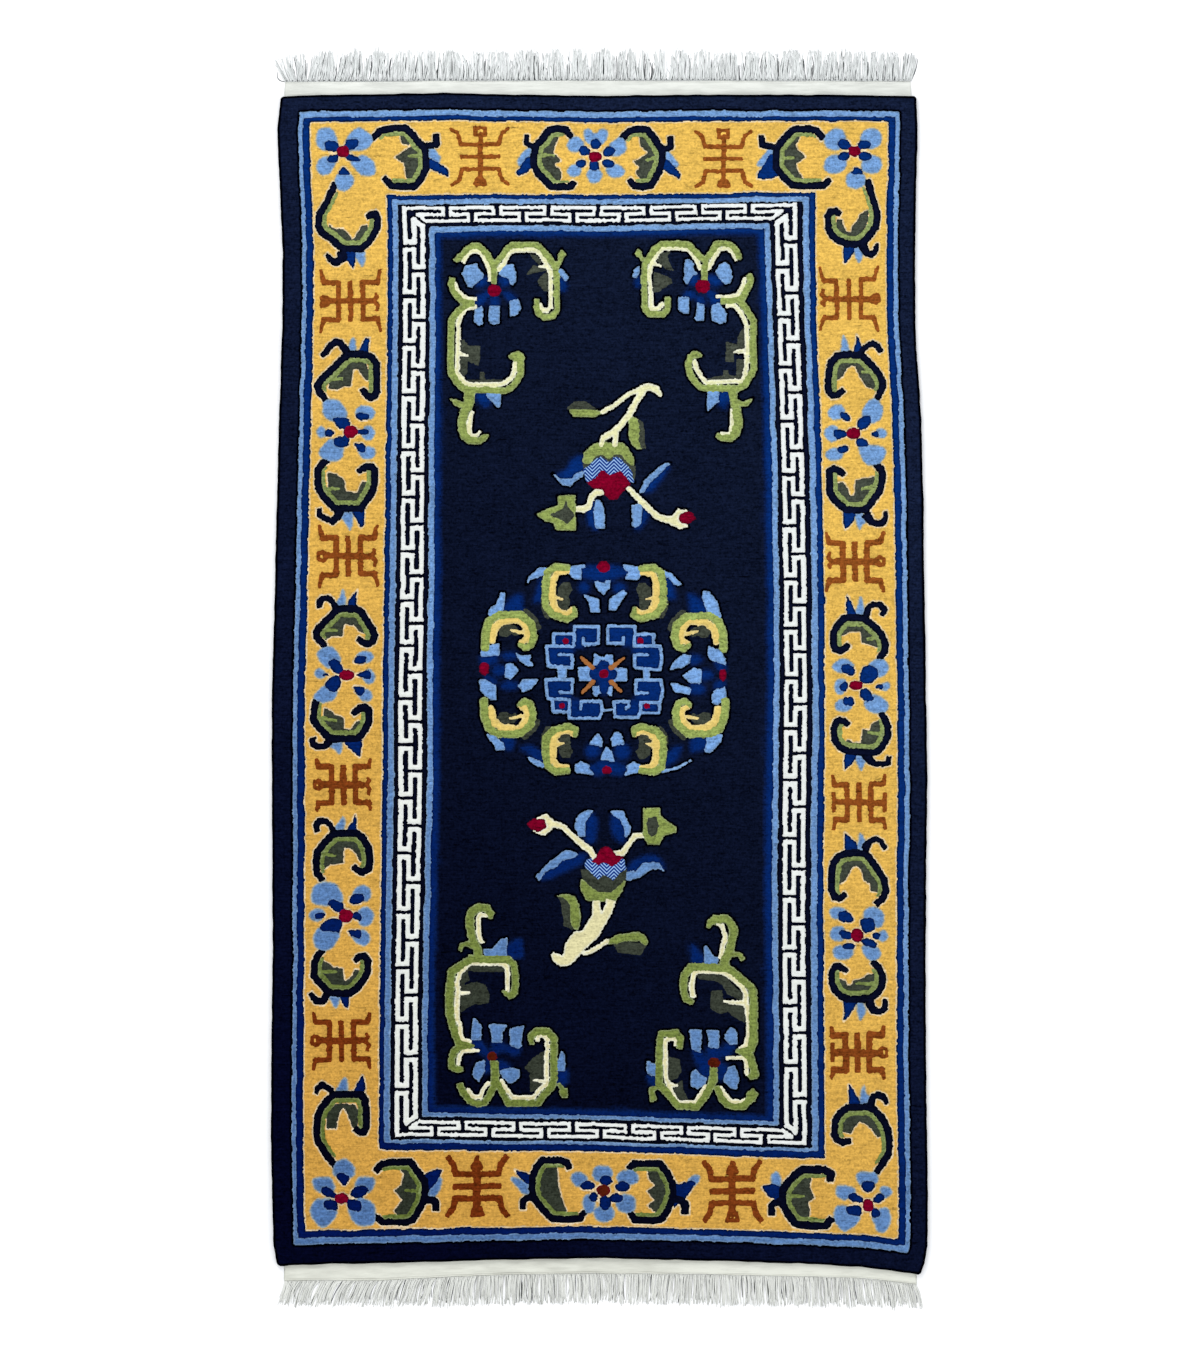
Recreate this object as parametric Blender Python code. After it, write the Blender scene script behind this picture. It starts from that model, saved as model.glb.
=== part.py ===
"""Knotted wool rug, Chinese art deco style, lying flat.

Five pieces: the knotted pile body, a flat-woven cotton header at each end, and
a cotton fringe beyond each header. Metres, +Z up. The rug's length runs along Y,
its underside lies on Z = 0, and the origin is below the middle of the rug.
"""
import bmesh
import bpy
import numpy as np

MM = 0.001

# --- the pile body ---------------------------------------------------------
PILE_TOP = 13.0 * MM            # foundation and pile together
WALL_TOP = 8.5 * MM             # the edge stands upright to here, then rounds over
SHOULDER_Z = 11.8 * MM
SHOULDER_INSET = 1.2 * MM
TOP_INSET = 4.5 * MM
SIDE_POINTS = 72                # points along each long side of a ring
END_POINTS = 38                 # points along each end of a ring
OUTER_CORNER_CUT = 5.0 * MM     # how far the rounded corner keeps off the sharp one
INNER_CORNER_CUT = 1.0 * MM
CARVED_WIDTH = 6.0 * MM         # the carved line between two bands
CARVED_DEPTH = 2.0 * MM

# The two long sides, from the top end to the bottom end. Each row gives the X of
# the outer edge and of the field's edge, on the left and on the right, in mm.
SIDE_COLUMNS = ("y", "left", "field_left", "field_right", "right")
SIDE_ROWS = [
    (1094.0, -597.0, -298.0, 297.0, 593.0),
    (1030.0, -603.4, -298.0, 297.0, 595.7),
    (899.0, -598.1, -298.0, 297.5, 592.7),
    (805.0, -593.4, -297.6, 299.0, 591.0),
    (655.0, -594.2, -297.6, 303.8, 591.6),
    (487.0, -600.4, -298.5, 308.1, 602.8),
    (337.0, -604.3, -298.7, 311.8, 606.6),
    (149.0, -608.8, -299.4, 315.0, 608.8),
    (-38.0, -613.7, -301.9, 315.6, 611.5),
    (-188.0, -613.9, -301.5, 312.8, 614.1),
    (-338.0, -612.9, -305.4, 310.9, 612.2),
    (-507.0, -612.2, -309.5, 311.8, 610.9),
    (-676.0, -614.3, -311.0, 313.7, 611.4),
    (-845.0, -615.5, -311.5, 314.5, 613.1),
    (-976.0, -613.1, -312.0, 315.0, 615.5),
    (-1060.0, -611.1, -312.0, 315.0, 613.7),
    (-1092.0, -604.6, -312.0, 315.0, 609.4),
    (-1118.0, -591.0, -312.0, 315.0, 599.0),
]

# The two ends, from left to right: the Y of the outer edge and of the field's edge.
END_COLUMNS = ("x", "bottom", "field_bottom", "field_top", "top")
END_ROWS = [
    (-616.0, -1099.0, -800.0, 828.0, 1091.5),
    (-590.0, -1098.4, -800.0, 828.0, 1092.6),
    (-505.0, -1094.8, -800.0, 828.0, 1095.6),
    (-374.0, -1093.0, -800.5, 828.0, 1097.4),
    (-290.0, -1090.3, -801.6, 827.8, 1099.1),
    (-187.0, -1087.1, -804.4, 831.0, 1095.9),
    (1.0, -1083.9, -808.1, 830.1, 1093.5),
    (188.0, -1088.4, -814.0, 833.6, 1095.9),
    (301.0, -1091.8, -818.4, 835.7, 1095.6),
    (376.0, -1094.1, -820.0, 836.0, 1095.4),
    (488.0, -1100.3, -821.0, 836.0, 1095.0),
    (592.0, -1113.8, -822.0, 836.0, 1093.1),
    (616.0, -1117.0, -822.0, 836.0, 1092.5),
]

# The carved lines, each at a share of the way from the outer edge to the field.
CARVED_COLUMNS = ("name", "left", "right", "top", "bottom")
CARVED_ROWS = [
    ("gold band, outer edge", 0.197, 0.183, 0.190, 0.215),
    ("gold band, inner edge", 0.665, 0.640, 0.706, 0.722),
    ("fret band, outer edge", 0.733, 0.719, 0.773, 0.787),
    ("field", 0.985, 0.985, 0.985, 0.985),
]

# --- the headers -----------------------------------------------------------
SEAM_GAP = 0.3 * MM             # between one piece and the next
HEADER_THICK = 2.2 * MM
HEADER_EDGE = 0.6 * MM          # small bevel along its outer top edge
HEADER_STATIONS = 61
TOP_HEADER_X = (-590.5 * MM, 584.0 * MM)
BOTTOM_HEADER_X = (-590.5 * MM, 593.5 * MM)

# Where each header ends and its fringe begins.
SEAM_COLUMNS = ("x", "top", "bottom")
SEAM_ROWS = [
    (-592.0, 1119.6, -1126.6),
    (-500.0, 1121.6, -1126.8),
    (-411.0, 1122.4, -1126.0),
    (-306.0, 1122.4, -1120.9),
    (-168.0, 1122.2, -1114.8),
    (1.0, 1122.0, -1113.4),
    (170.0, 1121.8, -1114.5),
    (292.0, 1121.5, -1116.9),
    (470.0, 1121.3, -1120.6),
    (545.0, 1121.2, -1127.4),
    (594.0, 1121.0, -1133.4),
]

# --- the fringes -----------------------------------------------------------
STRIP_WIDTH = 3.0 * MM          # the knotted line that the strands grow from
TOP_STRANDS = 118
BOTTOM_STRANDS = 148
ROOT_SHARE = 0.66               # a strand's root width, as a share of its pitch
TIP_SHARE = 0.27
ROOT_HEIGHT = 2.0 * MM
TIP_HEIGHT = 1.3 * MM
STRAND_STEPS = 3
TIP_LINE_TOP = 1181.0 * MM      # the longest strands reach these lines
TIP_LINE_BOTTOM = -1181.0 * MM

# How the strands lie, from left to right: how far a tip is carried sideways, and
# how far it stops short of the tip line, in mm. CLUMP is how much of the way the
# tips of one clump are drawn together.
LAY_COLUMNS = ("x", "lean", "short")
TOP_LAY = [
    (-592.0, -12.0, 40.0),
    (-570.0, -3.0, 17.0),
    (-540.0, 6.0, 8.0),
    (-470.0, 10.0, 5.0),
    (-380.0, 0.0, 3.0),
    (-200.0, 2.0, 2.0),
    (0.0, -2.0, 1.0),
    (200.0, 1.0, 2.0),
    (400.0, 4.0, 2.0),
    (560.0, 3.0, 4.0),
    (576.0, 9.0, 8.0),
    (590.0, 22.0, 16.0),
]
BOTTOM_LAY = [
    (-592.0, -14.0, 6.0),
    (-500.0, -16.0, 4.0),
    (-380.0, -14.0, 5.0),
    (-260.0, -5.0, 8.0),
    (-100.0, -2.0, 11.0),
    (60.0, -5.0, 12.0),
    (180.0, 3.0, 11.0),
    (320.0, 2.0, 6.0),
    (460.0, 2.0, 5.0),
    (594.0, 9.0, 0.0),
]
TOP_CLUMP = (4, 0.42)           # strands to a clump, and how much it is drawn in
BOTTOM_CLUMP = (5, 0.16)
TOP_RAGGED = 7.0 * MM           # the most that one strand is cut shorter than its neighbour
BOTTOM_RAGGED = 3.5 * MM
FRINGE_SEED = 11

# --- colours ---------------------------------------------------------------
NAVY_WOOL = (0.006, 0.009, 0.028, 1.0)
HEADER_COTTON = (0.78, 0.78, 0.70, 1.0)
FRINGE_COTTON = (0.76, 0.79, 0.74, 1.0)


def column(rows, columns, name):
    """One named column of a table, in metres."""
    return np.array([row[columns.index(name)] for row in rows]) * MM


def smooth_curve(rows, columns, across, name):
    """A smooth function through a table's points: cubic pieces whose slopes are
    the mean slopes of the neighbouring rows."""
    at = column(rows, columns, across)
    value = column(rows, columns, name)
    order = np.argsort(at)
    at, value = at[order], value[order]
    slope = np.gradient(value, at)

    def curve(x):
        x = np.clip(np.asarray(x, float), at[0], at[-1])
        i = np.clip(np.searchsorted(at, x) - 1, 0, len(at) - 2)
        span = at[i + 1] - at[i]
        t = (x - at[i]) / span
        return ((2 * t**3 - 3 * t**2 + 1) * value[i] + (t**3 - 2 * t**2 + t) * span * slope[i]
                + (3 * t**2 - 2 * t**3) * value[i + 1] + (t**3 - t**2) * span * slope[i + 1])

    return curve


side = {name: smooth_curve(SIDE_ROWS, SIDE_COLUMNS, "y", name) for name in SIDE_COLUMNS[1:]}
end = {name: smooth_curve(END_ROWS, END_COLUMNS, "x", name) for name in END_COLUMNS[1:]}
seam = {name: smooth_curve(SEAM_ROWS, SEAM_COLUMNS, "x", name) for name in SEAM_COLUMNS[1:]}


def make_object(name, verts, faces, color, roughness):
    """A mesh object with its faces turned outwards and its own material."""
    mesh = bpy.data.meshes.new(name)
    mesh.from_pydata([tuple(map(float, v)) for v in verts], [], faces)
    work = bmesh.new()
    work.from_mesh(mesh)
    bmesh.ops.recalc_face_normals(work, faces=work.faces)
    work.to_mesh(mesh)
    work.free()
    material = bpy.data.materials.new(name)
    material.use_nodes = True
    shader = material.node_tree.nodes["Principled BSDF"]
    shader.inputs["Base Color"].default_value = color
    shader.inputs["Roughness"].default_value = roughness
    mesh.materials.append(material)
    obj = bpy.data.objects.new(name, mesh)
    bpy.context.scene.collection.objects.link(obj)
    return obj


def pile_ring(share, inset, cut, z):
    """One closed ring on the pile: at a share of the way from the outer edge to the
    field on each side, moved further in by inset, with its corners cut off."""

    def long_side(which, sign, y):
        outer = side[which](y)
        return outer + share[which] * (side["field_" + which](y) - outer) + sign * inset

    def short_end(which, sign, x):
        outer = end[which](x)
        return outer + share[which] * (end["field_" + which](x) - outer) + sign * inset

    def corner(across, sign_x, along, sign_y):
        x, y = -sign_x * 0.6, -sign_y * 1.09
        for _ in range(6):      # the two curves cross here
            x = long_side(across, sign_x, y)
            y = short_end(along, sign_y, x)
        return float(x), float(y)

    bottom_left = corner("left", 1, "bottom", 1)
    bottom_right = corner("right", -1, "bottom", 1)
    top_right = corner("right", -1, "top", -1)
    top_left = corner("left", 1, "top", -1)
    bottom_x = np.linspace(bottom_left[0] + cut, bottom_right[0] - cut, END_POINTS)
    right_y = np.linspace(bottom_right[1] + cut, top_right[1] - cut, SIDE_POINTS)
    top_x = np.linspace(top_right[0] - cut, top_left[0] + cut, END_POINTS)
    left_y = np.linspace(top_left[1] - cut, bottom_left[1] + cut, SIDE_POINTS)
    x = np.concatenate([bottom_x, long_side("right", -1, right_y), top_x, long_side("left", 1, left_y)])
    y = np.concatenate([short_end("bottom", 1, bottom_x), right_y, short_end("top", -1, top_x), left_y])
    return np.column_stack([x, y, np.full(len(x), z)])


def build_pile():
    """The pile body: rings from the underside up over the rounded edge and across the
    carved lines, joined by quads, with one face below and one on the field."""
    outer = dict(left=0.0, right=0.0, top=0.0, bottom=0.0)
    rings = [
        pile_ring(outer, 0.0, OUTER_CORNER_CUT, 0.0),
        pile_ring(outer, 0.0, OUTER_CORNER_CUT, WALL_TOP),
        pile_ring(outer, SHOULDER_INSET, OUTER_CORNER_CUT, SHOULDER_Z),
        pile_ring(outer, TOP_INSET, OUTER_CORNER_CUT, PILE_TOP),
    ]
    for row in CARVED_ROWS:
        share = dict(zip(CARVED_COLUMNS[1:], row[1:]))
        for step, depth in ((-0.5, 0.0), (0.0, CARVED_DEPTH), (0.5, 0.0)):
            rings.append(pile_ring(share, step * CARVED_WIDTH, INNER_CORNER_CUT, PILE_TOP - depth))
    count = len(rings[0])
    faces = [list(range(count))]
    for level in range(len(rings) - 1):
        for i in range(count):
            j = (i + 1) % count
            faces.append([level * count + i, level * count + j,
                          (level + 1) * count + j, (level + 1) * count + i])
    last = (len(rings) - 1) * count
    faces.append([last + i for i in range(count)])
    return make_object("pile", np.concatenate(rings), faces, NAVY_WOOL, 0.9)


def build_header(name, which, x_span, inner_sign):
    """A flat strip: its inner edge follows the pile's end, its outer edge the seam,
    with the outer top edge bevelled. inner_sign is +1 at the top end, -1 at the bottom."""
    x = np.linspace(x_span[0], x_span[1], HEADER_STATIONS)
    inner = end[which](x) + inner_sign * SEAM_GAP
    outer = seam[which](x)
    section = [
        (inner, 0.0),
        (outer, 0.0),
        (outer, HEADER_THICK - HEADER_EDGE),
        (outer - inner_sign * HEADER_EDGE, HEADER_THICK),
        (inner, HEADER_THICK),
    ]
    verts = np.concatenate([np.column_stack([x, y, np.full(len(x), z)]) for y, z in section])
    count = len(x)
    sides = len(section)
    faces = []
    for k in range(sides):
        nxt = (k + 1) % sides
        for i in range(count - 1):
            faces.append([k * count + i, k * count + i + 1, nxt * count + i + 1, nxt * count + i])
    faces.append([k * count for k in range(sides)])
    faces.append([k * count + count - 1 for k in range(sides)])
    return make_object(name, verts, faces, HEADER_COTTON, 0.85)


def build_fringe(name, which, x_span, strands, lay, clump, ragged, tip_line, out_sign):
    """A knotted strip with three-sided strands that grow from its outer wall. Each
    strand's flat side lies on the floor, and it narrows and sinks towards its tip."""
    draw = np.random.default_rng(FRINGE_SEED + strands)
    bound = np.linspace(x_span[0], x_span[1], strands + 1)
    pitch = bound[1] - bound[0]
    centre = (bound[:-1] + bound[1:]) / 2
    lean = smooth_curve(lay, LAY_COLUMNS, "x", "lean")
    short = smooth_curve(lay, LAY_COLUMNS, "x", "short")

    def back(x):
        return seam[which](x) + out_sign * SEAM_GAP

    def front(x):
        return back(x) + out_sign * STRIP_WIDTH

    size, drawn = clump
    clump_centre = centre[np.minimum(np.arange(strands) // size * size + size // 2, strands - 1)]
    tip_x = centre + lean(centre) + drawn * (clump_centre - centre) + draw.uniform(-0.6, 0.6, strands) * MM
    cut_off = short(centre) + ragged * draw.random(strands) ** 2
    cut_off -= cut_off.min()    # the longest strand ends on the tip line
    tip_y = tip_line - out_sign * cut_off

    verts = []
    faces = []

    def add(x, y, z):
        verts.append((x, y, z))
        return len(verts) - 1

    back_low = [add(x, back(x), 0.0) for x in bound]
    back_high = [add(x, back(x), ROOT_HEIGHT) for x in bound]
    end_low = [add(x, front(x), 0.0) for x in (bound[0], bound[-1])]
    end_high = [add(x, front(x), ROOT_HEIGHT) for x in (bound[0], bound[-1])]
    roots = []
    for i in range(strands):
        half = ROOT_SHARE * pitch / 2
        root = [(centre[i] - half, 0.0), (centre[i] + half, 0.0), (centre[i], ROOT_HEIGHT)]
        roots.append([add(x, front(x), z) for x, z in root])
        ring = roots[-1]
        for step in range(1, STRAND_STEPS + 1):
            t = step / STRAND_STEPS
            width = pitch * (ROOT_SHARE + (TIP_SHARE - ROOT_SHARE) * t)
            height = ROOT_HEIGHT + (TIP_HEIGHT - ROOT_HEIGHT) * t
            x = centre[i] + (tip_x[i] - centre[i]) * t ** 1.3   # it bends more towards the tip
            y = front(centre[i]) + (tip_y[i] - front(centre[i])) * t
            low_left, low_right, high = (add(x - width / 2, y, 0.0), add(x + width / 2, y, 0.0),
                                         add(x, y, height))
            faces.append([ring[0], ring[1], low_right, low_left])
            faces.append([ring[1], ring[2], high, low_right])
            faces.append([ring[2], ring[0], low_left, high])
            ring = [low_left, low_right, high]
        faces.append(ring)

    for i in range(strands):
        left, right, top = roots[i]
        faces.append([back_low[i], back_low[i + 1], right, left])
        faces.append([back_high[i], back_high[i + 1], top])
        faces.append([back_low[i], back_low[i + 1], back_high[i + 1], back_high[i]])
        if i + 1 < strands:
            next_left, _, next_top = roots[i + 1]
            faces.append([back_low[i + 1], next_left, right])
            faces.append([back_high[i + 1], next_top, top])
            faces.append([right, next_left, next_top, top])
    first, last = roots[0], roots[-1]
    faces.append([back_low[0], first[0], end_low[0]])
    faces.append([back_high[0], first[2], end_high[0]])
    faces.append([end_low[0], first[0], first[2], end_high[0]])
    faces.append([back_low[0], end_low[0], end_high[0], back_high[0]])
    faces.append([back_low[-1], end_low[1], last[1]])
    faces.append([back_high[-1], end_high[1], last[2]])
    faces.append([last[1], end_low[1], end_high[1], last[2]])
    faces.append([back_low[-1], end_low[1], end_high[1], back_high[-1]])
    return make_object(name, verts, faces, FRINGE_COTTON, 0.85)


for old in list(bpy.data.objects):
    bpy.data.objects.remove(old, do_unlink=True)

build_pile()
build_header("header_top", "top", TOP_HEADER_X, 1)
build_header("header_bottom", "bottom", BOTTOM_HEADER_X, -1)
build_fringe("fringe_top", "top", TOP_HEADER_X, TOP_STRANDS, TOP_LAY, TOP_CLUMP,
             TOP_RAGGED, TIP_LINE_TOP, 1)
build_fringe("fringe_bottom", "bottom", BOTTOM_HEADER_X, BOTTOM_STRANDS, BOTTOM_LAY, BOTTOM_CLUMP,
             BOTTOM_RAGGED, TIP_LINE_BOTTOM, -1)
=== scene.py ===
import bpy
import numpy as np
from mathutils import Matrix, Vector


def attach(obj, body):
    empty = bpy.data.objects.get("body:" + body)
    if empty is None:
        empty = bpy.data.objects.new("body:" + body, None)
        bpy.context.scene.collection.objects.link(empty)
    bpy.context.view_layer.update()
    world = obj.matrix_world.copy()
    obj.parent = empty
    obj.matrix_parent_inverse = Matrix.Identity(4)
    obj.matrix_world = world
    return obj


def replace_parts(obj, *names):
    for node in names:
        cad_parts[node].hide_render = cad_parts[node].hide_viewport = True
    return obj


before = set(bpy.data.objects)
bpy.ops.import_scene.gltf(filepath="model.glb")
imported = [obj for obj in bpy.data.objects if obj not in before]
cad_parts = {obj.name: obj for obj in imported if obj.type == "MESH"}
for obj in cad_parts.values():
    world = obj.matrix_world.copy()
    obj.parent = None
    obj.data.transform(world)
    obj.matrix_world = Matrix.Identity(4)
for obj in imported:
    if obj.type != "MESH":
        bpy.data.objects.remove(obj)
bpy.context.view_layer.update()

print("scene: frame loaded")

# Charts, tables and sizes are in millimetres in the rug's own frame: x across, y along, z up.
metre = 0.001


# Camera, floor and light
def tone(red, green, blue, gain=1.0):
    # 8-bit display colour to linear: ((c + 0.055) / 1.055) ** 2.4
    c = np.array([red, green, blue], float) / 255
    linear = np.where(c <= 0.04045, c / 12.92, ((c + 0.055) / 1.055) ** 2.4)
    return tuple(float(value) for value in linear * gain)


studio = dict(height=12.0, frameHeight=2.548, middle=0.0009, sensor=36, floorHalf=9.0)
studio.update(floorTone=(0.93, 0.93, 0.93), key=95.0, fillShare=0.45, sky=1.0, skyTone=(0.95, 0.97, 1.0))


def makeStudio(s):
    # lens = sensor height * camera height / height of what is seen
    camera = bpy.data.objects.new("Camera", bpy.data.cameras.new("Camera"))
    bpy.context.collection.objects.link(camera)
    camera.location = (s["middle"], 0, s["height"])
    camera.data.sensor_fit = "VERTICAL"
    camera.data.sensor_height = s["sensor"]
    camera.data.lens = s["sensor"] * s["height"] / s["frameHeight"]
    camera.data.clip_end = 100
    bpy.context.scene.camera = camera

    floor = bpy.data.meshes.new("Floor")
    far = s["floorHalf"]
    floor.from_pydata([(-far, -far, 0), (far, -far, 0), (far, far, 0), (-far, far, 0)], [], [(0, 1, 2, 3)])
    floorObject = bpy.data.objects.new("Floor", floor)
    bpy.context.collection.objects.link(floorObject)
    paper = bpy.data.materials.new("FloorPaper")
    paper.use_nodes = True
    shader = paper.node_tree.nodes["Principled BSDF"]
    shader.inputs["Base Color"].default_value = (*s["floorTone"], 1)
    shader.inputs["Roughness"].default_value = 0.9
    shader.inputs["Specular IOR Level"].default_value = 0.1
    floor.materials.append(paper)

    lamps = dict(
        Key=dict(at=(-1.6, 3.2, 4.2), size=2.6, power=s["key"]),
        Fill=dict(at=(2.4, -2.2, 5.0), size=4.0, power=s["key"] * s["fillShare"]),
    )
    for name, lamp in lamps.items():
        data = bpy.data.lights.new(name, "AREA")
        data.energy = lamp["power"]
        data.size = lamp["size"]
        light = bpy.data.objects.new(name, data)
        bpy.context.collection.objects.link(light)
        light.location = lamp["at"]
        light.rotation_euler = (-Vector(lamp["at"])).to_track_quat("-Z", "Y").to_euler()

    world = bpy.data.worlds.new("Studio")
    bpy.context.scene.world = world
    world.use_nodes = True
    background = world.node_tree.nodes["Background"]
    background.inputs["Color"].default_value = (*s["skyTone"], 1)
    background.inputs["Strength"].default_value = s["sky"]
    bpy.context.scene.view_settings.view_transform = "Standard"
    bpy.context.scene.view_settings.look = "None"


makeStudio(studio)
print("scene: camera, floor and light")


# Noise and outline
def smoothNoise(x, y, size, seed):
    # value noise: random numbers on a lattice of that size, blended with t * t * (3 - 2 * t)
    count = 257
    table = np.random.default_rng(seed).uniform(-1, 1, (count, count))
    gx = x / size + 1000.37
    gy = y / size + 1000.71
    ix = np.floor(gx).astype(int)
    iy = np.floor(gy).astype(int)
    tx = gx - ix
    ty = gy - iy
    tx = tx * tx * (3 - 2 * tx)
    ty = ty * ty * (3 - 2 * ty)
    a = table[iy % count, ix % count]
    b = table[iy % count, (ix + 1) % count]
    c = table[(iy + 1) % count, ix % count]
    d = table[(iy + 1) % count, (ix + 1) % count]
    return (a * (1 - tx) + b * tx) * (1 - ty) + (c * (1 - tx) + d * tx) * ty


# outline stations from the bottom end up: y, left edge, field's left edge, field's right edge, right edge
sideTable = np.array([
    (-1118, -591.0, -312.0, 315.0, 599.0),
    (-1092, -604.6, -312.0, 315.0, 609.4),
    (-1060, -611.1, -312.0, 315.0, 613.7),
    (-976, -613.1, -312.0, 315.0, 615.5),
    (-845, -615.5, -311.5, 314.5, 613.1),
    (-676, -614.3, -311.0, 313.7, 611.4),
    (-507, -612.2, -309.5, 311.8, 610.9),
    (-338, -612.9, -305.4, 310.9, 612.2),
    (-188, -613.9, -301.5, 312.8, 614.1),
    (-38, -613.7, -301.9, 315.6, 611.5),
    (149, -608.8, -299.4, 315.0, 608.8),
    (337, -604.3, -298.7, 311.8, 606.6),
    (487, -600.4, -298.5, 308.1, 602.8),
    (655, -594.2, -297.6, 303.8, 591.6),
    (805, -593.4, -297.6, 299.0, 591.0),
    (899, -598.1, -298.0, 297.5, 592.7),
    (1030, -603.4, -298.0, 297.0, 595.7),
    (1094, -597.0, -298.0, 297.0, 593.0),
])
# outline stations from the left: x, bottom edge, field's bottom edge, field's top edge, top edge
endTable = np.array([
    (-616, -1099.0, -800.0, 828.0, 1091.5),
    (-590, -1098.4, -800.0, 828.0, 1092.6),
    (-505, -1094.8, -800.0, 828.0, 1095.6),
    (-374, -1093.0, -800.5, 828.0, 1097.4),
    (-290, -1090.3, -801.6, 827.8, 1099.1),
    (-187, -1087.1, -804.4, 831.0, 1095.9),
    (1, -1083.9, -808.1, 830.1, 1093.5),
    (188, -1088.4, -814.0, 833.6, 1095.9),
    (301, -1091.8, -818.4, 835.7, 1095.6),
    (376, -1094.1, -820.0, 836.0, 1095.4),
    (488, -1100.3, -821.0, 836.0, 1095.0),
    (592, -1113.8, -822.0, 836.0, 1093.1),
    (616, -1117.0, -822.0, 836.0, 1092.5),
])


def sideAt(y, column):
    return np.interp(y, sideTable[:, 0], sideTable[:, column])


def endAt(x, column):
    return np.interp(x, endTable[:, 0], endTable[:, column])


# the pile: grid of cells, heights, how deep and wide the carving is,
# and how wide the painted rim of shade and highlight beside it runs
pile = dict(width=1215.0, length=2190.0, across=528, along=952, top=13.0, edgeTop=8.5, edgeWidth=4.6)
pile.update(corner=5.0, carveDepth=2.4, carveWidth=1.9, rimWidth=2.5)


def gridLines(count, length):
    # lines close together at both edges, where the pile rounds over, and even between
    edge = np.array([0.0, 0.7, 1.8, 3.4, 5.2])
    inner = np.linspace(edge[-1], length - edge[-1], count - 7)
    return np.concatenate([edge[:-1], inner, (length - edge[:-1])[::-1]]) / length


def layGrid(p):
    # x = left + (right - left) * u and y = bottom + (top - bottom) * v, settled in a few rounds
    u, v = np.meshgrid(gridLines(p["across"], p["width"]), gridLines(p["along"], p["length"]))
    x = (u - 0.5) * p["width"]
    y = (v - 0.5) * p["length"]
    for turn in range(6):
        left = sideAt(y, 1)
        right = sideAt(y, 4)
        x = left + (right - left) * u
        low = endAt(x, 1)
        high = endAt(x, 4)
        y = low + (high - low) * v
    fromSide = np.minimum(x - sideAt(y, 1), sideAt(y, 4) - x)
    fromEnd = np.minimum(y - endAt(x, 1), endAt(x, 4) - y)
    # round corners: inside the corner square the point moves in by max(p, q) / hypot(p, q)
    r = p["corner"]
    cp = np.clip(1 - fromSide / r, 0, 1)
    cq = np.clip(1 - fromEnd / r, 0, 1)
    squeeze = np.where((cp > 0) & (cq > 0), np.maximum(cp, cq) / np.maximum(np.hypot(cp, cq), 1e-9), 1)
    x = x - np.sign(x) * r * cp * (1 - squeeze)
    y = y - np.sign(y) * r * cq * (1 - squeeze)
    rim = r * (1 - np.where((cp > 0) & (cq > 0), np.maximum(cp, cq), 0))
    fromEdge = np.where((cp > 0) & (cq > 0), rim, np.minimum(fromSide, fromEnd))
    # a slight unevenness of the edge itself
    wave = smoothNoise(x, y, 22, 3) * 0.7 + smoothNoise(x, y, 7, 4) * 0.35
    fade = np.exp(-fromEdge / 9)
    x = x + wave * fade * 0.9
    y = y + smoothNoise(x, y, 19, 5) * 0.8 * fade
    return x, y, np.maximum(fromEdge, 0)


gridX, gridY, fromEdge = layGrid(pile)
rows, columns = gridX.shape
cellSize = pile["width"] / pile["across"]
print("scene: grid", rows, "by", columns)


# Drawing with shapes
# A chart is a flat run of numbers, x and y in turn: a place to start from, then the steps between points.
def walk(run):
    # points = running sums of the steps; a list of points is left as it is
    if np.ndim(run) == 1:
        run = np.round(np.cumsum(np.reshape(run, (-1, 2)), axis=0), 1)
    return [tuple(p) for p in run]


def line(run, half, square=False, flat=False):
    return dict(kind="line", points=walk(run), half=half, square=square, flat=flat)


def patch(run, grow=0.6):
    return dict(kind="patch", points=walk(run), grow=grow)


def petal(x, y, across, along):
    return dict(kind="petal", points=[(x, y)], across=across, along=along)


def shapes(chart, flat=False):
    # a run alone is a patch, a run with its half widths a stroke; shapes made before stay as they are
    made = []
    for row in chart:
        if isinstance(row, list):
            made.append(patch(row))
        elif isinstance(row, tuple):
            made.append(line(*row, flat=flat))
        else:
            made.append(row)
    return made


def moved(chart, move):
    # the same shapes with each point put through the function move
    return [dict(part, points=[move(*p) for p in part["points"]]) for part in shapes(chart)]


def lineDistance(part, x, y):
    # distance to the nearest point of each segment, less the half width there; square ends use max(|a|, |b|)
    pts = part["points"]
    half = part["half"]
    halves = list(half) if isinstance(half, (list, tuple)) else [half, half]
    if len(halves) != len(pts):
        halves = list(np.interp(np.linspace(0, 1, len(pts)), np.linspace(0, 1, len(halves)), halves))
    best = np.full(x.shape, 1e3)
    last = len(pts) - 2
    for k in range(len(pts) - 1):
        (ax, ay), (bx, by) = pts[k], pts[k + 1]
        ha, hb = halves[k], halves[k + 1]
        dx = bx - ax
        dy = by - ay
        size = max(np.hypot(dx, dy), 1e-6)
        along = ((x - ax) * dx + (y - ay) * dy) / size
        across = ((y - ay) * dx - (x - ax) * dy) / size
        if part["square"]:
            qx = np.abs(along - size / 2) - size / 2 - ha
            qy = np.abs(across) - ha
            d = np.hypot(np.maximum(qx, 0), np.maximum(qy, 0)) + np.minimum(np.maximum(qx, qy), 0)
        else:
            t = np.clip(along / size, 0, 1)
            d = np.hypot(along - t * size, across) - (ha + (hb - ha) * t)
            # flat ends are cut straight across, a little past the last point
            if part["flat"] and k == 0:
                d = np.maximum(d, -along - 0.35 * ha)
            if part["flat"] and k == last:
                d = np.maximum(d, along - size - 0.35 * hb)
        best = np.minimum(best, d)
    return best


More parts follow.
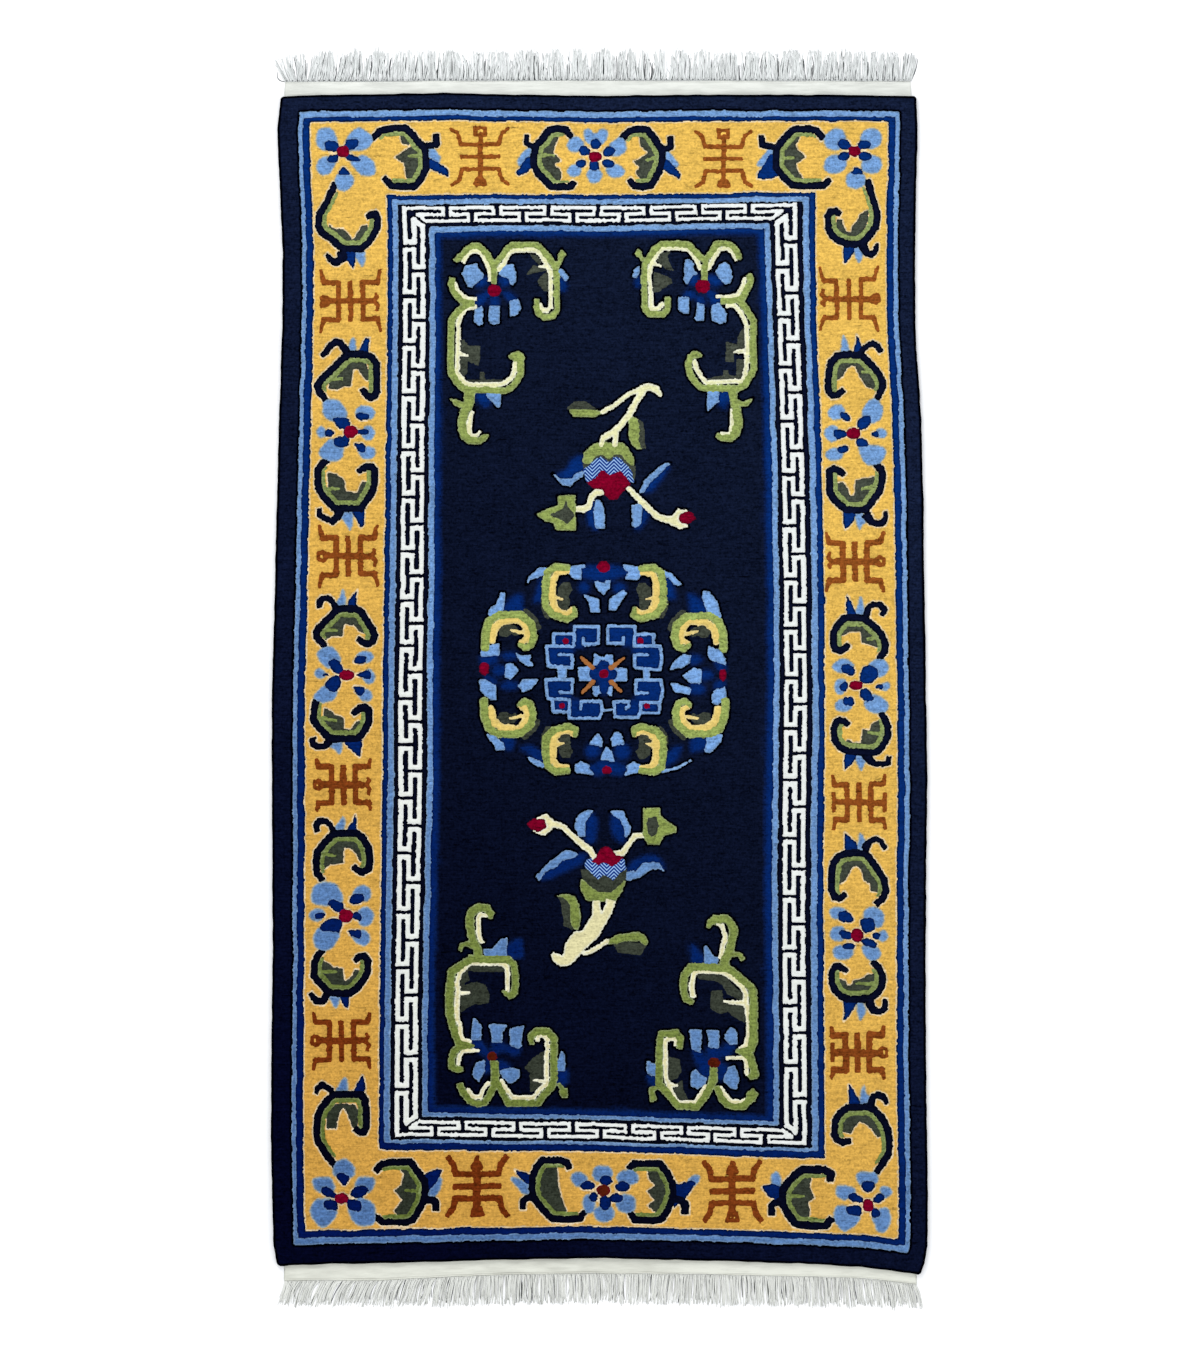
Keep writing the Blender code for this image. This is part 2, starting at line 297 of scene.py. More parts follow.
def patchDistance(part, x, y):
    # distance to the polygon's nearest side, negative inside by the crossing rule
    pts = part["points"]
    best = np.full(x.shape, 1e6)
    inside = np.zeros(x.shape, bool)
    for (ax, ay), (bx, by) in zip(pts, pts[1:] + pts[:1]):
        dx = bx - ax
        dy = by - ay
        t = np.clip(((x - ax) * dx + (y - ay) * dy) / max(dx * dx + dy * dy, 1e-9), 0, 1)
        best = np.minimum(best, (x - ax - t * dx) ** 2 + (y - ay - t * dy) ** 2)
        if ay != by:
            inside ^= ((ay > y) != (by > y)) & (x < dx * (y - ay) / dy + ax)
    best = np.sqrt(best)
    return np.where(inside, -best, best) - part["grow"]


def petalDistance(part, x, y):
    # ellipse: k * (k - 1) / |p / r^2| with k = |p / r|
    (cx, cy) = part["points"][0]
    k = np.hypot((x - cx) / part["across"], (y - cy) / part["along"])
    g = np.hypot((x - cx) / part["across"] ** 2, (y - cy) / part["along"] ** 2)
    return k * (k - 1) / np.maximum(g, 1e-6)


distanceOf = dict(line=lineDistance, patch=patchDistance, petal=petalDistance)


def reachOf(part):
    half = part.get("half", 0)
    big = max(half) if isinstance(half, (list, tuple)) else half
    return max(big, part.get("across", 0), part.get("along", 0))


# knots make the drawn edges waver: slow drift, jitter, and a part of the way to the middle of each knot
warpX = gridX + smoothNoise(gridX, gridY, 34, 11) * 0.8 + smoothNoise(gridX, gridY, 9, 12) * 0.55
warpY = gridY + smoothNoise(gridX, gridY, 31, 13) * 0.8 + smoothNoise(gridX, gridY, 8, 14) * 0.55
warpX = warpX + smoothNoise(gridX, gridY, 3.4, 15) * 0.95
warpY = warpY + smoothNoise(gridX, gridY, 3.4, 16) * 0.95
knot = 3.4
warpX = warpX * 0.55 + (np.floor(warpX / knot) + 0.5) * knot * 0.45
warpY = warpY * 0.55 + (np.floor(warpY / knot) + 0.5) * knot * 0.45
columnLow = gridX.min(axis=0)
columnHigh = gridX.max(axis=0)
rowLow = gridY.min(axis=1)
rowHigh = gridY.max(axis=1)

yarns = ["navy", "light", "royal", "gold", "black", "white", "rust", "leaf", "green", "olive", "cream", "red"]
yarns += ["yellow", "orange", "twill"]
yarnNumber = {name: i for i, name in enumerate(yarns)}
cellYarn = np.zeros((rows - 1, columns - 1), np.int8)
nearS = np.full(gridX.shape, 60.0)
nearX = np.zeros(gridX.shape)
nearY = np.zeros(gridX.shape)


def layYarn(name, s, gx, gy, r0=0, c0=0):
    # a cell takes the yarn where the mean of its corners' distances is below nought;
    # a corner keeps the last boundary drawn over it, or the nearest one outside
    r1 = r0 + s.shape[0]
    c1 = c0 + s.shape[1]
    mean = (s[:-1, :-1] + s[1:, :-1] + s[:-1, 1:] + s[1:, 1:]) / 4
    cells = cellYarn[r0 : r1 - 1, c0 : c1 - 1]
    cells[mean < 0] = yarnNumber[name]
    old = nearS[r0:r1, c0:c1]
    take = (s < 0) | (np.abs(s) < np.abs(old))
    old[take] = s[take]
    nearX[r0:r1, c0:c1][take] = gx[take]
    nearY[r0:r1, c0:c1][take] = gy[take]


def unionDistance(parts, x, y):
    best = np.full(x.shape, 1e3)
    for part in parts:
        best = np.minimum(best, distanceOf[part["kind"]](part, x, y))
    return best


def draw(name, chart, margin=9.0, flat=False):
    # the slope of the distance comes from two more readings a little aside
    parts = shapes(chart, flat)
    aside = 0.2
    xs = [p[0] for part in parts for p in part["points"]]
    ys = [p[1] for part in parts for p in part["points"]]
    reach = max(reachOf(part) for part in parts) + margin
    cs = np.nonzero((columnHigh >= min(xs) - reach) & (columnLow <= max(xs) + reach))[0]
    rs = np.nonzero((rowHigh >= min(ys) - reach) & (rowLow <= max(ys) + reach))[0]
    window = (slice(rs[0], rs[-1] + 1), slice(cs[0], cs[-1] + 1))
    x = warpX[window]
    y = warpY[window]
    s = unionDistance(parts, x, y)
    gx = (unionDistance(parts, x + aside, y) - s) / aside
    gy = (unionDistance(parts, x, y + aside) - s) / aside
    layYarn(name, s, gx, gy, rs[0], cs[0])


# Bands
# each side's table, with its columns for the rug's edge and the field's
borderSides = dict(left=(sideTable, 1, 2), right=(sideTable, 4, 3))
borderSides.update(top=(endTable, 4, 3), bottom=(endTable, 1, 2))
# each frame starts at these shares of the border's width, counted from the outer edge
bands = [
    dict(yarn="light", left=0.127, right=0.110, top=0.116, bottom=0.130),
    dict(yarn="royal", left=0.152, right=0.139, top=0.156, bottom=0.171),
    dict(yarn="gold", left=0.197, right=0.183, top=0.190, bottom=0.215),
    dict(yarn="royal", left=0.665, right=0.640, top=0.706, bottom=0.722),
    dict(yarn="light", left=0.697, right=0.680, top=0.738, bottom=0.768),
    dict(yarn="black", left=0.733, right=0.719, top=0.773, bottom=0.790),
    dict(yarn="light", left=0.931, right=0.925, top=0.925, bottom=0.940),
    dict(yarn="royal", left=0.966, right=0.960, top=0.964, bottom=0.967),
    dict(yarn="navy", left=1.0, right=1.0, top=1.0, bottom=1.0),
]


def borderLine(side, at, share):
    # edge + (field - edge) * share, at that place along the side
    table, edge, field = borderSides[side]
    outer = np.interp(at, table[:, 0], table[:, edge])
    return outer + (np.interp(at, table[:, 0], table[:, field]) - outer) * share


def drawBand(band):
    # distance = greatest of the four sides' distances, with the corner rounded by the radius r
    x = warpX
    y = warpY
    ax = np.maximum(borderLine("left", y, band["left"]) - x, x - borderLine("right", y, band["right"]))
    ay = np.maximum(borderLine("bottom", x, band["bottom"]) - y, y - borderLine("top", x, band["top"]))
    wobble = smoothNoise(x, y, 26, 61) * 0.9 + smoothNoise(x, y, 6.5, 62) * 0.7
    ax = ax + wobble
    ay = ay + wobble
    r = 2.0
    qx = ax + r
    qy = ay + r
    s = np.hypot(np.maximum(qx, 0), np.maximum(qy, 0)) + np.minimum(np.maximum(qx, qy), 0) - r
    corner = (qx > 0) & (qy > 0)
    norm = np.maximum(np.hypot(qx, qy), 1e-6)
    gx = np.where(corner, qx / norm, (ax > ay) * 1.0) * np.sign(x)
    gy = np.where(corner, qy / norm, (ax <= ay) * 1.0) * np.sign(y)
    layYarn(band["yarn"], s, gx, gy)


for band in bands:
    drawBand(band)
print("scene: bands")

# Fret
# the black gaps between the outer runs, along each side; the runs of the inner row part midway between them
fretSides = dict(
    left=[813, 718, 628, 533, 430, 342, 240, 148, 63, -36, -122, -222, -325, -436, -540, -644, -767],
    right=[820, 725, 632, 538, 429, 340, 236, 140, 52, -46, -138, -239, -355, -458, -560, -662, -785],
    top=[-286, -192, -96, -3, 90, 186, 280],
    bottom=[-308, -206, -102, 2, 110, 210, 310],
)
fretSpan = dict(left=(0.761, 0.903), right=(0.753, 0.895), top=(0.786, 0.900), bottom=(0.812, 0.918))


def fretPoint(side, along, row):
    # row 0 is the outer run's middle, 0.5 the middle one, 1 the inner one
    low, high = fretSpan[side]
    across = borderLine(side, along, low + (high - low) * (0.106 + 0.788 * row))
    return (across, along) if side in ("left", "right") else (along, across)


def fretCorner(side, end, row):
    # where that side's row meets the same row of its neighbour at the first or last corner
    upright = side in ("left", "right")
    other = (("top", "bottom") if upright else ("left", "right"))[end]
    along = ((850.0, -850.0) if upright else (-350.0, 350.0))[end]
    for turn in range(5):
        here = fretPoint(side, along, row)
        there = fretPoint(other, here[0] if upright else here[1], row)
        along = there[1] if upright else there[0]
    return along


def fretLine(side, gaps, half, gap):
    # outer run, in and back along the middle row, inner run, out and back, and so on to the next corner
    step = -1 if side in ("left", "right") else 1
    g = (gap / 2 + half) * step
    first = [fretCorner(side, 0, row) for row in (0, 0.5, 1)]
    last = [fretCorner(side, 1, row) for row in (0, 0.5, 1)]
    inner = [(a + b) / 2 for a, b in zip(gaps[:-1], gaps[1:])]
    tuck = (half * 2 + 3.0) * step * 0.8
    points = [(first[0], 0)]
    for k, hole in enumerate(gaps):
        if k == 0:
            back = first[1] + tuck
            start = first[2] + tuck
        else:
            back = start = inner[k - 1] + g
        if k == len(gaps) - 1:
            stop = last[2] - tuck
            turn = last[1] - tuck
        else:
            stop = turn = inner[k] - g
        points += [(hole - g, 0), (hole - g, 0.5), (back, 0.5), (start, 1)]
        points += [(stop, 1), (turn, 0.5), (hole + g, 0.5), (hole + g, 0)]
    points += [(last[0], 0)]
    return [fretPoint(side, along, row) for along, row in points]


for side, gaps in fretSides.items():
    half, gap = (4.4, 6.0) if side in ("left", "right") else (3.2, 7.5)
    points = fretLine(side, gaps, half, gap)
    for start in range(0, len(points) - 1, 4):
        draw("white", [line(points[start : start + 5], half, square=True)], margin=7)
print("scene: fret")


# Scrolls, long-life ornaments and flowers of the gold border, each charted one by one, as no two are quite alike.
# A scroll's arm runs round its opening; the green band lies inside it and is worked out from it.
scrolls = [
    dict(arm=[-496,929, -10,-23, -11,-22, -8,-14, -1,-22, 7,-12, 16,-11, 13,-12, 12,-6, 32,0, 12,11, 10,14,
        7,14, 1,16, -5,10, -7,-2, -7,-4], hook=[-484,800, 4,-10, -13,-9, -10,6, -8,9],
        thick=[9, 9, 7.5, 6, 4], light=[-458,804, 18,0, 1,-19, -4,-12, -6,9, -7,11],
        royal=[-478,806, 20,0, 1,-22, -4,-14, -11,15],
        olive=[-508,852, 11,-9, 16,1, 11,-12, 7,-10, 11,16, 8,12, 9,1, 1,-27, -48,-7, -21,14]),
    dict(arm=[-514,524, -10,13, -5,11, 3,9, 9,9, 12,11, 13,13, 12,12, 14,7, 26,0, 14,-5, 8,-12, 1,-32,
        0,-20, -5,-10, -8,-2, -8,6, -6,9], hook=[-474,615, -10,14, -10,4, -12,-9, -6,-11, -8,-7],
        thick=[8, 7, 6.5, 6.5, 6, 5], light=[-471,620, 3,-8, 12,2, -1,18, -3,11, -5,-9],
        royal=[-452,612, 19,-2, 2,30, -6,0, -6,-10], olive=[-486,588, 16,9, 30,0, 7,-19, -1,-20, -10,12,
        -7,12, -10,-1, -5,-31, -14,1, -10,-8, -18,2, 2,15], spur=[-512,561, 32,3]),
    dict(arm=[-508,412, -11,-7, -8,-12, 0,-33, 6,-13, 14,-16, 11,-11, 48,0, 8,11, 14,21, 5,18, 0,22, -6,7,
        -10,0, -7,-5, -7,-5], hook=[-487,315, -5,-12, -9,-7, -13,5, -11,7, -1,11],
        thick=[8, 8, 6.5, 6, 6, 5], light=[-483,318, 19,-2, 2,-26, -5,-11, -8,13, -8,11],
        royal=[-463,312, 6,8, 16,0, 0,-30, -5,-7, -9,17],
        olive=[-508,388, 16,-4, 14,-12, 2,-20, 23,-2, 9,21, 8,-1, 0,-20, -16,-17, -44,0, -12,17],
        spur=[-512,357, 25,0]),
    dict(arm=[-514,62, -9,9, -8,9, 0,8, 7,10, 14,14, 16,16, 10,4, 26,0, 12,-5, 12,-19, 9,-15, 4,-13, -4,-9,
        -9,-4, -10,3, -9,7], hook=[-494,133, -6,13, -8,7, -10,-1, -7,-7, 1,-9], thick=[6, 5, 5.5, 6, 6, 6],
        light=[-493,134, 14,0, 3,18, -4,19, -4,-13, -7,-12],
        royal=[-473,134, 14,-2, 2,18, 3,17, -6,-7, -9,-12], olive=[-502,106, 16,10, 10,5, 14,-2, 16,-16,
        10,-19, -14,8, -10,10, -18,2, -3,-22, -23,-2, -10,-7, -2,13], spur=[-514,92, 24,-1]),
    dict(arm=[-525,-33, -9,-13, -2,-28, 7,-12, 11,-12, 10,-10, 10,-3, 43,0, 9,7, 10,14, 5,16, -1,16, -8,6,
        -10,-3, -11,-10], hook=[-506,-117, -10,-8, -12,-1, -8,4, -2,8, 7,4], thick=[7, 5.5, 5.5, 5.5, 5, 3],
        light=[-506,-113, 23,0, 1,-13, -4,-15, -8,9, -11,8],
        royal=[-482,-113, 36,0, -1,-17, -2,-15, -7,5, -14,12],
        olive=[-516,-54, 14,-6, 8,-8, 13,-2, 2,-22, 13,-2, 10,14, 9,4, -1,-18, -12,-8, -40,0, -18,18],
        spur=[-520,-72, 28,-5]),
    dict(arm=[-520,-375, -9,13, -3,22, 4,18, 12,16, 14,14, 10,4, 36,0, 12,-8, 11,-18, 3,-26, -4,-16, -10,-6,
        -8,4, -8,8], hook=[-500,-283, -5,11, -9,7, -12,-1, -6,-8, 3,-10], thick=[5.5, 5, 6, 6.5, 6, 5],
        light=[-496,-286, 16,0, 3,18, -3,13, -6,-9, -8,-10],
        royal=[-476,-286, 20,0, 1,20, -2,13, -5,-14, -9,-9], olive=[-508,-312, 16,12, 14,3, 18,0, 13,-12,
        6,-23, -6,-10, -13,22, -10,6, -10,-2, 0,-26, -24,-4, -16,-10, 0,22], spur=[-520,-326, 26,-4]),
    dict(arm=[-518,-506, -9,-10, -7,-14, -1,-24, 8,-11, 10,-10, 9,-10, 11,-3, 31,1, 12,9, 13,16, 7,14, 0,22,
        -6,8, -9,-1, -9,-8], hook=[-511,-591, -7,-12, -12,1, -6,8, -5,7], thick=[7, 6.5, 7, 6, 5],
        light=[-509,-591, 22,-2, -3,-14, -4,-12, -6,11], royal=[-489,-590, 20,0, -1,-16, -2,-11, -7,5],
        olive=[-518,-527, 13,-7, 5,-6, 19,-2, 3,-24, 14,8, 6,15, 8,-1, -4,-18, -16,-12, -32,0, -20,14],
        spur=[-522,-548, 30,0]),
    dict(arm=[-495,-911, -12,15, -11,16, -10,14, -3,21, 3,25, 8,18, 12,16, 10,9, 52,0, 6,-8, 3,-15, 0,-40,
        -4,-8, -9,0, -8,7], hook=[-502,-771, -8,6, -10,6, -8,-7, -3,-9], thick=[5.5, 6, 6.5, 6, 4],
        light=[-497,-773, 26,0, -1,18, -4,13, -6,-10, -7,-10],
        royal=[-462,-773, 23,0, -1,18, -4,14, -6,-11, -7,-12],
        olive=[-511,-841, 2,29, 15,16, 36,0, 7,-16, -4,-28, -8,2, -7,23, -7,12, -6,-1, -7,-18, -4,-19]),
    dict(arm=[502,935, 7,-25, 7,-20, 4,-14, 0,-14, -2,-14, -10,-14, -14,-15, -12,-4, -20,1, -14,6, -12,10,
        -7,13, -1,23, 5,9, 10,0, 8,-5], hook=[494,812, 7,-13, 9,-4, 7,6, 1,7, 3,9],
        thick=[9, 7, 6, 5.5, 5, 2.5], light=[475,814, 13,0, 5,-16, -3,-14, -4,-4, -5,10],
        royal=[458,814, 19,0, -1,-14, -12,-16, -5,-5, -2,16], olive=[445,862, 9,0, 3,-12, 6,-12, 9,0, 2,12,
        10,8, 4,12, 15,10, 0,-22, -11,-20, -14,-10, -22,1, -11,17]),
    dict(arm=[521,527, 8,18, 1,13, -6,14, -12,15, -14,14, -10,7, -28,1, -15,-3, -11,-12, -4,-18, -2,-26,
        2,-12, 6,-6, 10,2, 11,9], hook=[490,616, 12,9, 10,4, 8,-5, 7,-10], thick=[6, 5, 6, 6, 5.5],
        light=[452,612, 16,1, -6,21, -5,11, -3,-13], royal=[474,611, 19,2, -5,17, -6,16, -2,-14],
        olive=[441,559, 1,21, 14,21, 30,-1, 12,-12, 10,-18, 8,-12, -2,-14, -14,6, -12,16, -8,19, -8,4,
        -10,-7, -7,-14], spur=[510,578, -20,-3]),
    dict(arm=[516,403, 10,-7, 5,-10, -2,-18, -4,-16, -11,-14, -10,-13, -8,-7, -34,0, -12,9, -14,14, -5,10,
        0,39, 9,5, 9,-4, 8,-8], hook=[500,309, 8,-13, 12,-5, 10,2, 6,11, -1,11], thick=[10, 7, 6, 6, 5, 4],
        light=[480,312, 11,0, 7,-17, -7,-6, -5,-9, -4,12],
        royal=[458,314, 22,1, -3,-15, -9,-12, -8,-8, -3,12],
        olive=[446,366, 10,2, 8,-10, 4,-14, 10,0, 2,30, 16,2, 20,3, -2,-29, -14,-20, -22,-5, -22,3, -10,18],
        spur=[512,361, -21,-4]),
    dict(arm=[524,39, 10,13, 2,14, -6,16, -10,12, -13,12, -11,8, -38,1, -10,-11, -9,-16, -1,-18, 4,-13,
        10,-4, 8,5, 7,6], hook=[500,120, 4,15, 10,6, 12,-1, 8,-10, -5,-9], thick=[7, 5.5, 5.5, 6, 6.5, 5],
        light=[478,119, 20,0, -4,19, -4,17, -3,0, -2,-15],
        royal=[463,117, 18,0, -5,18, -8,16, -4,8, -1,-19],
        olive=[452,80, 6,16, 16,11, 20,0, 14,-13, 16,-18, -4,-16, -15,6, -13,2, -2,22, -20,0],
        spur=[519,79, -19,-4]),
    dict(arm=[528,-63, 8,-12, 5,-13, -1,-18, -6,-12, -8,-12, -12,-7, -24,1, -25,2, -15,8, -9,12, -2,18,
        4,15, 7,5, 8,-3, 9,-5], hook=[500,-142, 8,-10, 10,-6, 16,0, 8,2, 0,11],
        thick=[9, 7, 5.5, 5.5, 5.5, 5], light=[480,-137, 14,0, 4,-17, -8,-18, -4,12, -5,10],
        royal=[460,-137, 21,0, -3,-13, -10,-12, -9,-8, -1,15],
        olive=[452,-113, 18,-1, 4,-5, 16,0, 2,25, 13,-2, 5,12, 14,6, 2,-24, -8,-18, -14,-7, -38,1],
        spur=[528,-102, -26,3]),
    dict(arm=[519,-421, 12,13, 5,12, -2,20, -10,16, -12,18, -8,11, -10,6, -32,0, -14,-6, -10,-13, -3,-18,
        -1,-32, 6,-14, 10,-2, 11,8], hook=[498,-316, 8,13, 12,5, 10,-6, 7,-13], thick=[9, 5.5, 5, 5, 5],
        light=[483,-321, 11,1, 4,14, -6,12, -5,8, -1,-14],
        royal=[460,-324, 25,2, -5,16, -10,10, -10,10, 0,-16], olive=[448,-350, 12,15, 20,2, 20,-5, 12,-22,
        8,-14, 0,-24, -12,2, -2,14, -10,6, -4,16, -8,10, -10,0, -8,-12, -6,-14, -10,-7]),
    dict(arm=[512,-529, 10,-9, 6,-10, 3,-12, -3,-16, -8,-12, -12,-9, -18,-2, -22,0, -16,6, -12,13, -5,14,
        0,18, 6,10, 9,0, 13,-9], hook=[506,-606, 6,-13, 12,-4, 10,6, 1,18], thick=[9, 7, 6, 6, 4.5],
        light=[482,-602, 10,0, 8,-22, -8,-10, -4,-6, -4,18],
        royal=[457,-601, 26,-2, -7,-15, -10,-14, -9,-7, 2,19],
        olive=[449,-562, 11,-2, 4,-10, 10,2, 4,8, 14,2, 12,10, 10,0, -2,-30, -32,-6, -22,2],
        spur=[514,-570, -34,0]),
    dict(arm=[519,-923, 13,18, 10,15, 2,20, -4,28, -10,20, -14,15, -16,6, -34,-1, -14,-10, -11,-16, -1,-22,
        6,-12, 10,-5, 15,2], hook=[508,-796, 4,14, 10,4, 10,-4, 7,-13], thick=[7, 6, 7, 7, 4],
        light=[488,-798, 14,-2, 6,18, -10,6, -4,17, -4,-17],
        royal=[468,-799, 23,0, -9,17, -12,20, -5,3, 3,-21], olive=[458,-820, 26,5, 20,-1, 20,-18, 10,-18,
        -12,-5, -10,13, -12,12, -12,5, -10,-11, -8,-13, -14,5]),
    dict(arm=[-425,1013, 16,15, 20,4, 25,1, 14,-12, 12,-15, 10,-9, 3,-13, 0,-28, -10,-20, -11,-12, -24,-1,
        -19,3, -14,13], hook=[-323,1001, 11,0, 7,2, -1,18], thick=[6, 6, 7, 6],
        light=[-324,997, 14,-2, 12,-17, -4,-12, -10,6, -10,13],
        royal=[-322,978, 10,-5, 28,-18, 0,-12, -16,7, -20,8],
        olive=[-376,1022, 6,-18, 22,-4, -35,-21, 17,-11, 2,-11, 4,-21, 10,0, 12,24, -2,30, -12,20],
        spur=[-338,981, -22,-1]),
    dict(arm=[-48,931, -7,-8, -19,-1, -17,1, -9,10, -15,15, -8,17, 0,20, 4,16, 13,12, 12,15, 15,4, 15,-2,
        11,-13], hook=[-122,998, -9,2, -6,5, 1,15], thick=[6, 5, 5, 5],
        light=[-125,997, -15,-5, -14,-20, 2,-10, 10,4, 15,16],
        royal=[-126,981, -12,-5, -18,-26, 4,-6, 16,6, 12,16], olive=[-74,1022, -10,-20, -4,-14, 15,-16,
        -15,-6, 15,-13, 0,-21, -15,0, -20,26, -4,22, 10,20, 16,18], spur=[-112,982, 27,0]),
    dict(arm=[39,1011, 16,17, 17,3, 18,-1, 10,-12, 10,-15, 8,-15, -1,-20, -5,-16, -8,-14, -8,-13, -16,-2,
        -15,2, -10,10], hook=[117,996, 9,-2, 8,4, -1,18], thick=[6, 6, 6, 6],
        light=[118,991, 10,-1, 20,-24, -2,-8, -10,4, -16,14],
        royal=[117,976, 13,-4, 22,-26, -2,-8, -16,8, -17,12],
        olive=[74,1022, 4,-22, 14,-13, -12,-9, -16,-8, 11,-10, -7,-10, 12,-18, 16,4, 10,24, 0,26, -14,26],
        spur=[106,977, -19,-5]),
    dict(arm=[419,1013, -11,15, -13,4, -30,-1, -15,-13, -12,-14, -7,-9, -1,-35, 15,-20, 15,-14, 25,-2, 35,2,
        11,11], hook=[331,998, -15,1, -12,3, -1,16], thick=[6, 6, 6, 6],
        light=[329,994, -11,0, -22,-26, 2,-8, 10,4, 18,14],
        royal=[331,984, -11,0, -16,-26, -8,-12, 0,-8, 24,-1, 14,7],
        olive=[378,1022, -12,-22, 4,-8, 16,-13, -18,-13, 4,-16, 14,-16, -28,2, -16,26, 2,28, 16,24],
        spur=[343,976, 21,0]),
    dict(arm=[-419,-921, 11,13, 18,4, 36,0, 14,-18, 12,-18, 2,-20, -3,-16, -9,-18, -12,-19, -12,-4, -44,0,
        -17,13], hook=[-328,-974, 16,0, 6,-6, 0,-13], thick=[7, 7, 7, 7],
        light=[-322,-955, 17,25, 10,-5, -5,-20, -8,-13, -14,-2],
        royal=[-332,-930, 24,12, 13,-1, -10,-21, -13,-15, -10,-10],
        olive=[-388,-913, 22,-11, -4,-24, -14,-9, 16,-18, -16,-20, 8,-13, 20,10, 16,30, -2,26, -16,24],
        spur=[-338,-958, -25,1]),
    dict(arm=[-56,-916, -4,10, -15,5, -33,0, -11,-13, -7,-21, -1,-20, 6,-20, 16,-19, 17,-16, 28,-2, 23,2,
        9,13], hook=[-124,-970, -13,-2, -6,-6, 0,-13], thick=[6, 6, 6, 6],
        light=[-128,-966, -16,4, -22,26, 2,6, 12,-6, 24,-14],
        royal=[-124,-930, -21,8, -14,4, 7,-12, 16,-14, 12,-8],
        olive=[-94,-908, 14,-5, 2,-37, 8,-25, 10,-27, -22,0, -26,30, -6,22, 8,28]),
    dict(arm=[55,-916, 9,9, 50,0, 13,-17, 10,-20, 1,-20, -7,-22, -13,-24, -18,-4, -34,1, -10,14],
        hook=[140,-972, 14,-4, 6,-7, 0,-16], thick=[7, 7, 8, 8],
        light=[160,-944, 16,16, 12,-2, -2,-10, -10,-12, -16,2],
        royal=[138,-944, 12,-2, 22,8, 9,-4, -11,-18, -12,-14, -18,-14],
        olive=[90,-912, 20,0, 16,-26, 3,-22, -7,-26, -12,-16, -18,16, 12,11, -14,17, 15,10, -13,13]),
    dict(arm=[431,-939, 3,13, -12,7, -44,0, -12,-10, -14,-14, -9,-15, 1,-27, 10,-19, 13,-16, 33,-3, 24,0,
        11,14], hook=[342,-978, -14,-4, -6,-6, 0,-15], thick=[8, 7, 7, 7], half=7.6,
        light=[322,-930, 8,8, 8,-8, 2,-20, -12,-2, -6,8],
        royal=[304,-950, 21,5, 15,-7, 10,-10, -3,-24, -17,11, -14,7],
        olive=[382,-926, 15,-10, -5,-14, 10,-20, -12,-10, 4,-20, -4,-14, -18,8, -18,28, 2,26, 12,16],
        spur=[358,-968, 26,0]),
]


def offsetLine(points, away, first, share):
    # each point moves sideways towards the inside, square to the mean of its two neighbours' directions
    p = np.array(points, float)
    way = np.gradient(p, axis=0)
    way /= np.maximum(np.hypot(way[:, 0], way[:, 1]), 1e-6)[:, None]
    after = np.roll(p, -1, axis=0)
    turning = np.sign((p[:, 0] * after[:, 1] - after[:, 0] * p[:, 1]).sum())
    inside = p + np.stack([-way[:, 1], way[:, 0]], axis=1) * turning * away
    # the part between two shares of the length is kept, cut at its exact places
    run = np.concatenate([[0], np.cumsum(np.hypot(*np.diff(p, axis=0).T))])
    cuts = [run[-1] * first, run[-1] * share]
    ends = [(np.interp(c, run, inside[:, 0]), np.interp(c, run, inside[:, 1])) for c in cuts]
    keep = (run > cuts[0]) & (run < cuts[1])
    return [ends[0]] + [tuple(q) for q in inside[keep]] + [ends[1]]


def drawScroll(arm, hook, thick, light, royal, olive, spur=(), half=6.8):
    # lights and darks of the buds first, then the shaded inside, the green band, its spur, arm and hook
    draw("light", [light])
    draw("royal", [royal])
    draw("olive", [olive])
    arm = walk(arm)
    draw("leaf", [(offsetLine(arm, half + 4.0, 0.05, 0.93), [2.4, 3.8, 4.8, 4.8, 4.8, 4.6, 3.0])])
    if spur:
        draw("leaf", [(spur, [4.0, 2.4])], flat=True)
    halves = [half * 0.95] + [half] * (len(arm) - 2) + [half * 0.85]
    draw("black", [(arm, halves), (hook, thick)], flat=True)


for row in scrolls:
    drawScroll(**row)

# Long-life ornaments: turn in degrees, 0 with the head up; half width of the strokes; outer and inner head.
# The arms run along the stem by knee, spread by splay, then on by flare outwards and rise along the stem.
topLife = dict(turn=0, half=4.0, outer="box", inner="fan", knee=22, splay=6, flare=14, rise=9, tip=0.8)
bottomLife = dict(turn=180, outer="cup", inner="point", knee=18, splay=4, flare=11, rise=15, tip=0.9)
leftLife = dict(turn=90, knee=26, splay=0)
rightLife = dict(turn=-90, outer="ring")
longLife = [
    dict(topLife, at=(-224, 980)),
    dict(topLife, at=(232, 976), size=0.98),
    dict(bottomLife, at=(-229, -950), half=6.0, wide=1.17),
    dict(bottomLife, at=(249, -959), half=5.8, wide=1.1),
    dict(leftLife, at=(-467, 709), half=5.0, outer="fan", knee=28, splay=-1, flare=25, rise=5),
    dict(leftLife, at=(-471, 231), half=5.4, outer="ring", splay=-1, flare=24, rise=6),
    dict(leftLife, at=(-480, -197), half=5.6, size=0.97, outer="ring", flare=16, rise=3),
    dict(leftLife, at=(-484, -677), half=5.2, outer="ring", flare=18, rise=4),
    dict(rightLife, at=(468, 713), half=4.6, outer="knob", knee=24, splay=0, flare=26, rise=8),
    dict(rightLife, at=(479, 221), half=5.6, size=0.98, knee=26, splay=2, flare=20, rise=6),
    dict(rightLife, at=(487, -230), half=5.0, size=0.98, outer="bar", inner="bar", knee=23, splay=-2, flare=20,
         rise=4),
    dict(rightLife, at=(484, -699), half=6.2, size=0.97, inner="bar", knee=24, splay=-2, flare=18, rise=4),
]
